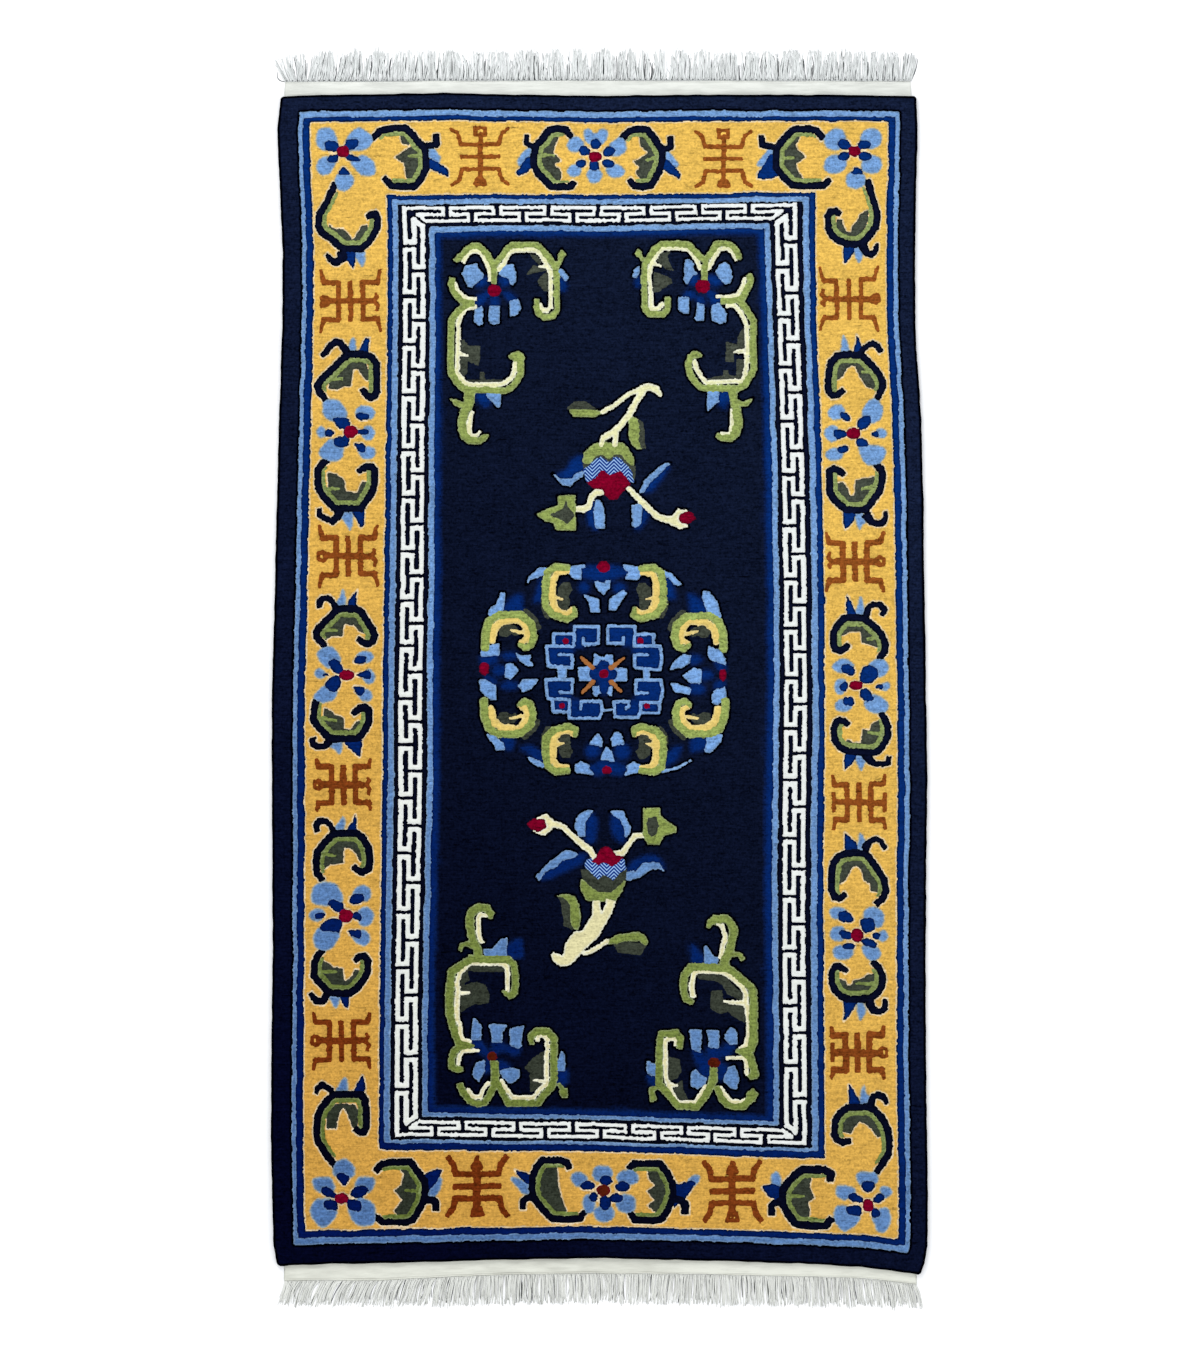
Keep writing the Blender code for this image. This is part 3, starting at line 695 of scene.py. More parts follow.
# heads at the end of a stem that comes from below; a lies across the stem, b along it
longLifeHeads = dict(
    ring=[([-9,47, 3,8, 12,0, 3,-8, -5,-7, -8,0, -5,7], 3.4)],
    box=[line([-9,40, 0,14, 18,0, 0,-14, -18,0], 3.6, square=True)],
    cup=[([-6,40, -5,13, 21,2, -3,-14, -13,-1], 3.7)],
    point=[[-12,36, 2,-4, 20,0, 2,4, -3,8, -4,6, -2,8, -6,0, -2,-8, -4,-6]],
    knob=[[-12,51, 4,7, 14,1, 6,-7, -4,-10, -8,-5, -7,4]],
    fan=[[-13,54, 7,3, 6,-3, 7,3, 6,-5, -3,-9, -7,-7, -7,0, -6,7]],
    fork=[line([-14,47, 7,3, 7,-6, 8,8, 11,-3], [3, 4, 4.4, 4, 3], flat=True)],
    bar=[line([-18,49, 36,0], 4.2, flat=True)],
)


def drawLongLife(at, turn, half, outer, knee, splay, flare, rise, inner="fork", tip=0.55, size=1.0, wide=1.0):
    # chart with the head up: three bars on a stem and four bent arms
    c = np.cos(np.radians(turn)) * size
    s = np.sin(np.radians(turn)) * size

    def place(a, b):
        return (at[0] + a * c - b * s, at[1] + a * s + b * c)

    def upsideDown(a, b):
        return place(-a, -b)

    thin = [half, half, half, half * tip]
    bar = line([(-37 * wide, -1), (37 * wide, 0)], half, flat=True)
    parts = [line([(1, 42), (0, -42)], half * 1.15), bar]
    for a, b in ((-36 * wide, 22), (35 * wide, 22), (-34 * wide, -24), (35 * wide, -23)):
        across = np.sign(a)
        up = np.sign(b)
        bend = (a + across * splay, b + up * knee)
        stop = (bend[0] + across * flare, bend[1] + up * rise)
        parts.append(line([(0, b), (a, b), bend, stop], thin, flat=True))
    draw("rust", moved(parts + longLifeHeads[outer], place))
    draw("rust", moved(longLifeHeads[inner], upsideDown))


for row in longLife:
    drawLongLife(**row)
print("scene: scrolls and long-life ornaments")


def soft(run):
    # a patch with its corners cut at a fifth and four fifths of each side
    p = np.array(walk(run), float)
    after = np.roll(p, -1, axis=0)
    return patch(np.stack([p * 0.8 + after * 0.2, p * 0.2 + after * 0.8], axis=1).reshape(-1, 2), 0.5)


def oval(x, y, wide, high):
    return [(x + wide * np.cos(t), y + high * np.sin(t)) for t in np.radians(np.arange(22.5, 360, 45))]


# flowers: heart, its half sizes, light petals and the royal ones over them
borderFlowers = [
    dict(at=(-466, 464), heart=(13, 11.5), light=[[-518,524, 28,0, 18,-23, -4,-12, -26,-6, -17,13],
        [-457,504, 12,9, 16,-2, 8,-11, -4,-12, -15,-3, -17,6],
        [-446,462, 5,12, 12,1, 8,-13, -4,-12, -11,-2, -11,10],
        [-457,439, 12,-5, 12,3, 13,-6, -2,-15, -18,-3, -14,13],
        [-525,430, 17,19, 14,1, 17,-9, -5,-30, -24,-2, -19,10],
        [-529,467, 7,8, 12,-8, 0,-10, -11,-5, -8,7]], royal=[[-502,491, 29,0, 7,-13, -7,-9, -15,0, -7,10],
        [-457,493, 3,6, 20,-1, 2,-11, -18,-2], [-457,467, 23,2, 2,-11, -25,2],
        [-460,443, 20,-2, 2,-15, -12,1, -7,8], [-497,452, 17,4, 13,-2, -3,-17, -14,-4, -14,8],
        [-513,467, 8,3, 9,-7, -6,-7, -11,1]]),
    dict(at=(475, 461), heart=(13, 10.5), light=[[505,524, 15,3, 12,-17, -4,-20, -16,-11, -18,10, -2,13],
        [428,505, 12,10, 13,-1, 10,-14, -10,-12, -15,-2, -10,9],
        [422,469, 14,8, 12,-7, 3,-14, -10,-10, -11,0, -9,11], [424,426, 16,9, 19,-8, -8,-14, -15,-3, -12,7],
        [484,438, 36,0, 17,-7, -5,-20, -18,-11, -15,3, -11,19], [519,470, 14,0, 6,-10, -8,-8, -12,3]],
        royal=[[485,487, 10,6, 12,2, 2,-13, -9,-12, -13,-3, -4,9], [450,498, 8,3, 9,-5, 3,-10, -7,-2, -9,4],
        [439,467, 11,1, 12,-4, 0,-8, -14,-6, -9,6], [444,430, 5,8, 16,0, 1,-9, -14,-6],
        [480,449, 10,4, 10,-6, 5,-10, -24,-1], [507,460, 13,8, 3,-13, -7,-2]]),
    dict(at=(-476, -443), heart=(13, 12.5),
        light=[[-540,-406, 6,21, 19,6, 21,-3, 12,-20, 2,-15, -25,-7, -32,4],
        [-468,-411, 11,21, 13,5, 14,-6, 2,-18, -12,-7],
        [-455,-436, 10,10, 12,0, 11,-14, -6,-17, -12,-7, -12,8],
        [-472,-472, 24,4, 14,-5, 4,-18, -10,-8, -16,6],
        [-536,-481, 11,17, 20,4, 19,-10, -2,-14, -13,-19, -19,-6, -14,10],
        [-543,-437, 10,9, 18,-5, 0,-14, -13,-7, -14,7]],
        royal=[[-510,-418, 11,7, 9,-6, 10,-2, 2,-12, -12,-7, -11,8],
        [-470,-415, 9,14, 18,0, 2,-11, -9,-8, -17,0], [-466,-440, 12,5, 9,-9, -4,-11, -15,9],
        [-473,-470, 25,2, 1,-12, -5,-5, -15,7], [-523,-462, 15,13, 16,2, 11,-9, -6,-18, -15,3, -19,-1],
        [-533,-439, 15,3, 3,-10, -16,-2]]),
    dict(at=(482, -479), heart=(10.5, 13), light=[[496,-433, 14,8, 18,-6, 6,-15, -6,-17, -16,-3, -16,16],
        [432,-429, 18,3, 14,-7, 4,-14, -20,-3, -14,5], [430,-478, 9,14, 16,2, 7,-14, -5,-12, -18,-2],
        [434,-505, 18,8, 24,-2, 0,-16, -13,-10, -20,0], [490,-497, 28,-3, 10,-8, -4,-15, -16,-4, -11,8],
        [524,-472, 11,2, 7,-12, -9,-10, -10,3]], royal=[[489,-448, 23,2, 6,-20, -10,-7, -14,-2, -5,13],
        [446,-436, 17,3, 12,-10, 0,-11, -26,-1], [449,-470, 23,-3, 1,-14, -17,1, -7,10],
        [454,-500, 6,6, 17,0, 1,-11, -18,-2], [488,-490, 12,6, 21,-10, -2,-9, -19,3],
        [510,-479, 10,5, 7,-6, -6,-9, -10,5]]),
    dict(at=(-473, 8), heart=(13.5, 9.5),
        light=[[-530,48, 9,11, 19,3, 11,-11, 9,-15, -8,-10, -18,-6, -16,14],
        [-457,45, 15,10, 16,-5, 4,-8, -9,-10, -19,0], [-443,16, 15,4, 8,-12, -2,-13, -12,-4, -12,11],
        [-464,-13, 20,-1, 16,-9, 2,-14, -14,-5, -14,10],
        [-535,-30, 18,18, 18,2, 9,-12, -7,-15, -17,-7, -18,5], [-535,12, 11,9, 14,-9, -5,-9, -14,-1]],
        royal=[[-509,32, 9,7, 10,-2, 9,-15, 3,-7, -12,-6, -11,9],
        [-461,34, 7,12, 17,-3, 0,-8, -7,-5, -13,0], [-460,9, 12,3, 12,6, 9,-6, -1,-11, -9,0, -10,4],
        [-464,-12, 21,-2, 3,-8, -5,-10, -9,3], [-515,-8, 13,13, 16,3, 2,-16, -8,-15, -10,0, -11,9],
        [-520,8, 8,4, 6,-3, -7,-3]]),
    dict(at=(481, -11), heart=(12, 8.8), light=[[505,31, 15,8, 15,-3, 8,-14, -12,-16, -15,-2, -13,12],
        [436,28, 16,10, 15,-2, 11,-10, -7,-14, -19,0, -14,8], [440,-14, 5,14, 16,2, 3,-14, -5,-14, -14,-2],
        [440,-45, 12,9, 24,-3, 0,-12, -15,-9, -16,2],
        [495,-42, 15,14, 17,-4, 15,-12, -2,-16, -24,-4, -15,9], [530,-7, 11,3, 4,-8, -6,-9, -10,2]],
        royal=[[489,12, 6,13, 9,2, 17,-8, 1,-13, -12,-13, -17,-1, -5,10],
        [453,26, 11,3, 15,-9, -1,-12, -10,0, -13,6], [450,-10, 10,7, 8,-8, -7,-12, -10,5],
        [458,-33, 19,0, 1,-15, -21,0], [488,-18, 12,1, 9,-7, 6,-15, -15,-2, -11,9],
        [516,-14, 12,6, 5,-6, -5,-6]]),
    dict(at=(-480, 988.5), heart=(11.8, 10.5),
        light=[[-531,1012, 2,15, 9,6, 15,0, 8,-7, 4,-13, 4,-7, 0,-16, -26,0, -13,8],
        [-477,1006, 7,13, 11,11, 11,3, 9,-6, 11,-8, 4,-9, -6,-12, -12,-7, -17,-1, -15,0],
        [-530,959, 2,13, 13,8, 6,1, 19,-9, -8,-13, -9,-12, -13,-3, -8,8],
        [-468,974, 20,7, 11,-2, 13,-9, 4,-11, 0,-12, -11,-4, -16,3, -13,12],
        [-491,946, -6,-12, 8,-18, 13,-3, 12,12, 4,11, -6,10]],
        royal=[[-515,1003, 2,6, 18,1, 7,-11, 0,-10, -24,1], [-477,1006, 8,5, 18,0, 0,-7, -5,-10, -20,-4],
        [-511,976, 5,6, 17,1, 0,-13, -8,-2, -12,1], [-476,983, 9,0, 13,-4, 6,-8, -4,-1, -15,1, -7,4],
        [-481,962, 17,-18, -28,0]]),
    dict(at=(477, 990), heart=(11.5, 9.5),
        light=[[420,1008, 6,16, 14,8, 15,-4, 8,-14, -3,-14, -14,-8, -18,2],
        [488,1006, 4,18, 14,9, 16,-3, 7,-16, -5,-16, -16,-5, -14,2],
        [420,962, 5,14, 15,8, 18,-4, 5,-14, -8,-14, -17,-4, -14,4],
        [490,964, 6,14, 14,5, 16,-7, 3,-14, -7,-12, -16,-3, -12,6],
        [461,936, 5,14, 24,2, 9,-12, -3,-16, -14,-5, -15,3]],
        royal=[[446,1006, 5,7, 17,-3, 3,-12, -9,-5, -13,3], [483,1004, 7,6, 17,-2, 2,-8, -9,-7, -14,1],
        [446,982, 12,7, 10,-4, -1,-11, -12,-3, -8,4], [486,985, 11,5, 13,-6, -2,-10, -13,-3, -8,5],
        [480,963, 18,-16, -28,0]]),
    dict(at=(-483, -972), heart=(12.5, 10), light=[[-541,-936, 21,4, 17,-1, 7,-17, -2,-16, -32,6],
        [-455,-934, 18,2, 16,-1, 1,-15, -14,-16, -26,-4],
        [-533,-974, 20,2, 21,-4, 0,-28, -16,-20, -14,-3, -22,28],
        [-472,-976, 22,4, 17,-1, 13,-13, -1,-36, -31,-2, -17,20],
        [-501,-928, 6,24, 18,7, 17,-12, 2,-21, -20,-8]],
        royal=[[-521,-952, 8,3, 17,-9, 4,-12, -16,0, -13,8], [-469,-967, 9,15, 18,5, 11,-8, -7,-12, -17,-5],
        [-516,-976, 24,0, 2,-19, -25,4], [-473,-974, 23,-1, 4,-11, -3,-11, -22,5],
        [-495,-929, 10,6, 20,-9, -13,-19]]),
    dict(at=(503, -985), heart=(10.5, 12), light=[[480,-928, 8,6, 31,-2, 3,-12, -7,-13, -25,1, -7,8],
        [443,-953, 4,5, 30,-3, 3,-14, -13,-6, -12,-4, -12,9],
        [524,-955, 6,6, 17,-3, 2,-10, -11,-9, -7,-5, 1,10],
        [439,-998, 4,11, 20,2, 1,-17, 26,-4, -7,-13, -16,-12, -12,-3, -14,17],
        [526,-990, 14,0, 6,-14, -3,-19, -9,-12, -15,0, -2,13, -8,15]],
        royal=[[491,-940, 22,0, 3,-13, -14,-10, -11,9], [466,-964, 10,3, 17,-10, -1,-10, -17,2, -9,6],
        [513,-972, 8,9, 11,-1, 2,-9, -9,-8, -11,1], [463,-986, 28,0, 0,-20, -18,2, -10,4],
        [508,-1003, 3,11, 6,3, 10,-9, -3,-9, -10,-1]]),
    dict(at=(-8, 979), heart=(11.5, 10),
        light=[[-29,1029, 10,4, 11,-13, 11,13, 10,-4, 2,-12, -7,-13, -16,-6, -15,6, -6,13],
        [-62,1000, 7,14, 13,3, 11,-9, 3,-18, -16,-2, -14,2],
        [16,985, 4,18, 14,13, 14,-3, 2,-23, -14,-10, -14,0], [-62,952, 6,10, 14,2, 8,-9, -4,-12, -16,-2],
        [10,955, 10,9, 18,0, 10,-10, -6,-11, -20,-2], [-24,946, 6,11, 18,0, 6,-13, -8,-13, -16,0]],
        royal=[[-18,1006, 6,7, 10,-1, 5,-9, -5,-9, -13,1], [-38,996, 10,4, 10,-8, 1,-8, -13,-3, -8,5],
        [6,988, 8,11, 14,-3, 2,-8, -10,-8, -12,0], [-46,968, 10,6, 10,-2, 2,-8, -8,-6, -12,2],
        [4,972, 12,3, 12,-7, -2,-8, -14,-1, -8,5], [-18,970, 16,0, 1,-16, -17,0]]),
    dict(at=(7, -957), heart=(12.5, 10.5), light=[[-54,-936, 6,12, 14,2, 12,-10, -2,-13, -18,-5],
        [-14,-928, 5,15, 13,3, 16,-4, 5,-16, -9,-12, -22,0],
        [31,-934, 7,13, 18,3, 16,-8, 1,-14, -15,-6, -20,1],
        [29,-980, 7,14, 16,3, 15,-9, 0,-20, -13,-9, -18,5],
        [-12,-1000, 6,12, 18,2, 15,-6, -1,-18, -16,-7, -16,3],
        [-32,-982, 4,16, 12,2, 8,-14, -4,-20, -14,-2]],
        royal=[[-37,-946, 11,7, 16,-4, 2,-10, -12,-4, -14,3], [0,-936, 8,7, 12,-2, 5,-10, -9,-7, -13,1],
        [29,-948, 11,9, 14,-3, 3,-10, -11,-8, -15,3], [18,-970, 10,8, 14,-4, 2,-9, -10,-5, -14,2],
        [-1,-972, 9,5, 11,-3, 3,-14, -8,-11, -12,3], [-21,-970, 7,9, 10,-3, 0,-12, -10,-3]]),
]


def drawFlower(at, heart, light, royal):
    for run in light:
        draw("light", [soft(run)])
    for run in royal:
        draw("royal", [soft(run)])
    draw("red", [soft(oval(*at, heart[0] * 1.06, heart[1] * 1.06))])


for flower in borderFlowers:
    drawFlower(**flower)
print("scene: border flowers")

# Corner sprays, charted one by one: patches for shades and petals, strokes with their half widths for the bands
sprays = [
    dict(heart=(-197, 729, 13, 11.5), olive=[[-254,637, 5,-26, 0,-36, -8,-14, 77,1, -1,-4, -81,-2, 0,64],
        [-258,637, 13,-13, 21.4,1, -1,-26, -3.9,-12, -10.5,6, -14,6], [-224,562, 1,14, 6,0, 2,-14],
        [-130,797, 12,-3, 9,-12, -4,-4, -9,9, -8,8], [-136,759, 12,16, 12,0, 13,-8, -21,-5],
        [-116,745, 10,13, 10,5, 0,-35, -9,-1, -5,8]], light=[[-73,771, 7,-6, 7,-11, -3.5,-9, -5.5,7, -8,10],
        [-257,760, 6,15, 22,3, 3,-10, 8,-9, -2,-8, -12,-9, -7,-8, -9,3, -4,15],
        [-189,759, 13,16, 14,3, 5,-13, 0,-19, -5,-7, -6,5, -2,8, -9,4],
        [-232,694, 13,5, 1,-35, -8,-2, -9,9], [-205,699, 19,0, -1,-31, -11,-4, -9,7, 0,14],
        [-168,709, 16,2, 5,-14, -5,-13, -15,-4], [-211,538, 26,0, -1,-22, -3,-6, -4,0, -7,10, -12,11]],
        royal=[[-75,755, 10,-9, 3,-11, -4,-9, -8,7], [-224,754, 14,-3, -2,-13, -18,-5],
        [-188,753, 18,0, 0,-14, -13,-2], [-211,728, 6,-9, -13,-17, -13,0, 0,11],
        [-202,716, 14,0, 0,-16, -15,0], [-182,726, 13,-1, 17,-13, -15,-3],
        [-230,538, 18,0, 1,-8, 5,-10, -5,-8, -9,0, -8,10]],
        cream=[([-255.5,782, 8.5,14, 10,6, 12,-0.4, 9,-9.6, 6,-14, 4,-13, 2,-18], 4.3),
        ([-190,767, 11,11, 8,16, 7,9, 45,1, 9.5,-9, 9.5,-15, 8,-15, 0,-68, -6,-6, -8,1, -6,11], 4.3),
        ([-98,775, -16,-2], [4.2, 1.8]), ([-272,744.6, 4,-12.6, 10,-12, 11,-8, 16,0], 4),
        ([-231,697.5, -18,-0.5, -9,-13, -7,-16, 0,-50, -2,-43, 7,-10.5, 8,-9, 17,-3, 35,-0.5, 16,0.5, 12,7,
        10,9.5, 3.5,16, 0.5,16], 4.4), ([-264,611, 17,-4.7], [4.6, 1.8]),
        ([-238,503, -4,-15, -2,-18, 2,-13, 12,0, 7,8], [3, 5, 5, 4.2, 3.6, 3.2])],
        green=[([-269,784, 12,12, 10,12, 10,5, 10,0, 9,-7, 9,-11, 6,-10, 5,-11, 0.5,-11, 0,-20], 5.8),
        ([-198,774, 10,12, 8,10, 8,12, 8,6, 47,0, 8,-7, 11,-13, 9,-11, 6,-10, 3,-14, 0,-64, -2,-7, -7,-8,
        -15,-1, -10,7, -3.5,11, 0,14], 5.8), ([-276,752, -3,-11, 2,-11, 7,-10, 10,-9, 11,-6, 14,-0.5], 5.8),
        ([-247,703, -15,-10, -8,-9, -7.5,-12, -1,-15, -0.5,-68, 1,-15, 9,-15, 11,-12, 11,-5, 47,-0.5, 23,-1,
        13,7.5, 10,11, 6.5,14, 0.5,18, -2,8], 6.2), ([-244,541, 0,-21, -3,-7, -6,-12, -4,-15, -0.5,-17,
        4.5,-13, 10,-8, 18,-0.5, 10,5.5, 6,4], [10, 10, 10, 9, 8, 8, 7.5, 7, 6.5, 6, 3.5]),
        ([-80,775, 5,7, 4,13], [5, 4.4, 4.4])], tips=[[-78.5,796, 7.5,10, 8,-10, -7,-10],
        [-171,606, 11,7, 8,1.5, 7,-3.5, 6,-9, -2,-4, -9,2, -10,-4, -8,5],
        [-280,526, 12,-1, 13,-5, 3,-10, -10,0, -8,3]]),
    dict(heart=(193.5, 736, 14, 12.5), olive=[[107,784, 10,14, 17,3, -8,-9, 6,-15, 6,-11, -12,1, -9,10],
        [103,763, 15,-5, 16,-7, 2,-8, -12,-8, -15,-10, -8,0],
        [237,632, 11,-2, 12,-4, 0,17, 8,14, 4,0, 0,-43, -20,0, 0,-18, -15,1], [257,599, 15,0, 0,-39, -15,0],
        [195,562, 37,6, 1.5,11, 7.5,0, 2,-9, 17,-4, 0,-7, -62,-2]],
        light=[[168,788, 7,-8, 2,-12, 7,-8, -9,-2, -12,-19, -5,10, 2,16, -1,12, 2,9],
        [217,762, 9,16, 9,3, 9,-6, 6,-21, -6,-11, -9,-3, -8,8], [148,717, 19,-1, 0,-30, -10,0, -9,8],
        [183,706, 13.5,-3, -1.5,-31, -13,0, -3.5,5, 3,8],
        [210.5,700, 9.5,6, 12,-10, 6,-11, -0.5,-14, -11.5,-4, -14,5, -3,16],
        [75,774, -9,-6, -4.5,-14, 6.5,-2, 7,10], [204,541, 19,0, 0,-21, -12.5,-9, -7.5,-9, -1.5,14]],
        royal=[[175,760, 9,0, 0,-12, -6,-9, -12,1], [204,757, 22,-2, 3,-9, -9,-9, -13,5],
        [178,726, 2,-10, -19,-1, -6,2, 9,11], [183,719, 12,-3, 2,-15, -13,-1],
        [200,726, 13.5,2, 6.5,-10, 9,-12, -12,0, -6.5,-6, -3.5,12], [75,757, -9,-11, 1.5,-12, 7.5,3],
        [224,540, 17,0, 3,-18, -6,-3, -3,-14, -12,11]], cream=[([190,769, -7,13, -9,15, -8,10, -47.5,1,
        -9.5,-9.5, -12,-19, -3.5,-21.5, 3.5,-33, 0,-31, 13.5,0, 9.5,11], 4.3), ([100,779, 16,-5], [4.2, 2]),
        ([204.5,768, 10.5,23, 8,13.5, 15,2.5, 9.5,-5, 4.5,-8, 4.5,-9], 4.2),
        ([272,752, -3,-15, -11,-16, -13.5,-3, -25.5,0], [3.8, 4.4, 4.2, 4, 3]),
        ([238,701.5, 15.5,-1.5, 12.5,-15, 10,-22, 0.6,-43, -1.6,-36.5, -6,-24.5, -67.5,-3.5, -9.5,9.5,
        -10.5,18.5, -4.5,14.5], 4.4), ([270,615.5, -18,-2], [5, 2]),
        ([247.5,507, 0,-45, -9.5,-3, -12,3], [3.4, 4.4, 4, 3])], green=[([261.5,788, -3.5,13, -9.5,11.5,
        -11.5,4, -16.5,-0.5, -9.5,-13, -10.5,-14, -3.5,-19, 0,-22], 5.8),
        ([200,786, -10,3, -11.5,14, -9.5,12, -53.5,1, -12,-10.5, -9,-14, -9.5,-14, -1,-21.5, 1,-56, 1,-9,
        8.5,-7, 25.5,0, 8,9.5, 0,21], 6), ([279,757.5, 4.5,-10.5, -7,-16, -8,-16, -20,-6, -21,0.5], 6),
        ([262,710, 11,-13, 10,-16, 5,-8.5, 0,-92.5, -5,-11, -11.5,-18, -15,-6.5, -60,1, -8,2.5, -8,8,
        -10.5,16, -4.5,20, 5.5,14], 6.4), ([248,542, 3,-14, 5.5,-23, 3.5,-25, -4,-18, -11.5,-11, -15.5,1,
        -9,5.5], [8, 7.5, 8.5, 9, 8.5, 7, 6.5, 5]), ([83,785, -9,12], 3.6)],
        tips=[[166,605, 9,11, 8,-1, 10,-8.5, -10,-3.5, -11,-2],
        [256.5,523.5, 12.5,-3.5, 18.5,6.5, -4.5,-7.5, -8,-8, -12,1],
        [64.5,797, 4.5,3, 4,7, 5.5,-5.5, 0.5,-6.5, -5,-4]]),
    dict(heart=(-201, -706.5, 9.5, 9), olive=[[-248,-538.5, 70,1.5, 0,-11, -36,0, -35,1.5],
        [-260,-551, 11,5, 6,-18, -13,-7, -4,-6],
        [-260,-577, 17,6.5, 10,3, 19,-4.5, 8,-18, -1.5,-16, -16,-1.5, -16,-1.5, -20.5,-15],
        [-104,-696, -23,-16, -13,-16, 10,-7, 0,-38, 16,6, 10,20]],
        light=[[-236,-635, 5.5,-1.5, 2.5,-6.5, 7,-3, 0,-29, -18,0, -0.5,21],
        [-207,-647.5, 7.5,2.5, 26,-2.5, -8.5,-16.5, -1,-15, -18,0, -1.5,18],
        [-167,-654, 27,7, -6,-17, 0,-22.5, -5,-3, -14.5,3, -2.5,16.5],
        [-215.5,-712, -14.5,-5, -8,-14.5, 0,-9.5, 11.5,-14.5, 4.5,11.5, 6.5,9.5],
        [-188,-734.5, 9.5,4.5, 16.5,3.5, 12.5,-5, 0,-12.5, -9.5,-10, -10,-1.5, -12.5,9.5],
        [-215.5,-519, 0,14, 16.5,0, 14,19.5, 11,1, 0.5,-34.5],
        [-70.5,-696, 6.5,-9.5, 0,-27.5, -13,0, 0,18]], royal=[[-204,-700, -21,23, -15,0, 5,-13, 28,-19],
        [-199,-698, 0,19, 15,0, -4,-21], [-191,-686, 22,-2, 21,-1.5, -5,-13, -25,6.5],
        [-215.5,-716, 8.5,3, 2,-15, -7,-10, -3.5,4], [-188,-712, 11,-8, 15,-6.5, -16.5,-5, -8,-3],
        [-173.5,-503, 17.5,16, 11.5,0, 0,-32, -8,-2, -19.5,3],
        [-77,-735, 16,2, 0,-22.5, -11,-1.5, -6.5,9.5]], cream=[([-206,-441.5, -18.5,0.5, -3,-7, 0,-15,
        1.5,-15.5, 5,-11.5, 5,-1], [3, 4.4, 4.6, 4.6, 4.4, 4, 2.4]), ([-172,-583.5, 0,29, -1.5,15.5, -8,7,
        -61.5,0, -8,-6.5, -11,-13, -3.5,-12.5, 0,-26, -1.5,-26, 0,-16, 5,-16, 1.5,-19, 8,-10, 12.5,0], [4,
        4.4, 4.6, 4.4, 4.6, 4.6, 4.6, 4.8, 4.6, 4.4, 4.4, 4.4, 4, 4, 2.4]),
        ([-259,-587.5, 17,0.5], [4, 2.6]),
        ([-225,-695.5, -30.5,-0.5, -8,-9.5, -1,-16.5], [2.6, 3.4, 4, 3.6]),
        ([-247.5,-767, 9.5,-14, 14.5,-2, 6.5,16, 9.5,13], 4), ([-185,-750.5, 10,-16.5, 12.5,-15, 39,-1,
        12.5,16, 13,10, 0,83.5, -6.5,7, -9.5,-0.5, -1.5,-10], 4.2), ([-101,-754, -22.5,3.5], [3.4, 2.4])],
        green=[([-205,-447.5, 1.5,9.5, -7.5,9, -15,2, -12,-7, -5,-12, 0,-17, 3,-15.5, 6,-13.5, 6.5,-15,
        -0.5,-17], [5, 6.5, 7.5, 8, 8, 8, 8, 8, 7.5, 8.5, 9]),
        ([-261,-508, 4,10, 8.5,3, 14.5,-6], [3.4, 4.6, 5, 5]), ([-244,-524, 72.5,-1, 9.5,-8, 3.5,-15, 1,-22,
        -1.5,-16, -7,-7, -10,5, -6,5], [7.5, 7, 7, 7, 7, 7, 6.5, 4, 2]),
        ([-244,-526, -14,-8, -19.5,-14, -2.5,-23, -0.5,-29, 0,-27, 5,-21, 5.5,-20, 8,-15, 26,-4], [7, 7, 8,
        8.4, 8.4, 8, 7, 7, 7, 4]),
        ([-243,-686, -19,-1, -11,-10, -4,-13, 0,-15, 10.5,-5, 9.5,1], [5, 7, 7, 6.5, 7, 6.5, 5]),
        ([-263,-758, 8,-17, 11,-15, 14,-4, 13.5,0.5, 9.5,11.5, 9,20, 2,22, -0.5,24], [7, 7, 6.5, 6.5, 6.5,
        6.5, 7, 8, 7.5]), ([-194,-752, 12,-23, 11,-18.5, 56.5,0, 11.5,16.5, 13.5,14, 4,13, 0,78, -11.5,13,
        -20,0, -11,-9, 1,-14], [6, 6.4, 6.6, 6.6, 6.8, 7, 7, 7, 7, 7, 7, 5.4]), ([-77,-757, 11,-13], 4)],
        tips=[[-72,-766, 12,1, 1,-18, -12,-1, -5,11]]),
    dict(heart=(214, -718, 11, 9.5),
        olive=[[182,-551, 55,-3, 10,-17, 21,-19, 0,-13, -28,13, -10,19, -16,7, -29,3],
        [209,-585, 22,2, 0,-17, 38,-9, 3,-32, -16,6, -16,13, -13,-5, -19,11],
        [128,-705, 22,-8, 2,-22, -8,-13, -16,-3], [140,-763, 15,13, 1,-17, 9,-19, -12,-3, -13,13]],
        light=[[168,-656, 22,0, 2,-11, -3,-32, -16,6, -2,20], [200,-657, 23,0, 0,-32.5, -18,0, 0,19.5],
        [234,-667, 11,16, 10,-5, 3,-11, -1,-16, -14,0, -8,8],
        [171,-738, 8,8, 10,-11, 12,-6, -4,-12, -13,-8, -13,5],
        [235,-741, 7,15, 11,3, 4,-12, 4,-12, -4,-20, -12,2, -14,14],
        [200,-498, -4,-4, 1.5,-32, 23.5,0, 2,14, -10.5,2, -5.5,10], [89.5,-714, 15.5,-6, 0,-22.5, -14.5,3]],
        royal=[[174,-694, 18,-5, 13,-17, -4,-19, -18,16], [203,-691, 23,1.5, -5,-19.5, -18,1],
        [234,-685, 19,-1, -3,-10, -19,-10, -9,0], [184,-726, 19,-5, 0,-16, -14,6],
        [224,-718, 16,-9, -5,-14, -11,-10], [173,-494, 6,-5, 18,-30, 0,-5, -22.5,2],
        [89.5,-743, 15.5,-3, 0,-16, -9,3]], cream=[([174,-595, -1.5,24, 5,22, 8.5,2.5, 48,-1.5, 12.5,-10,
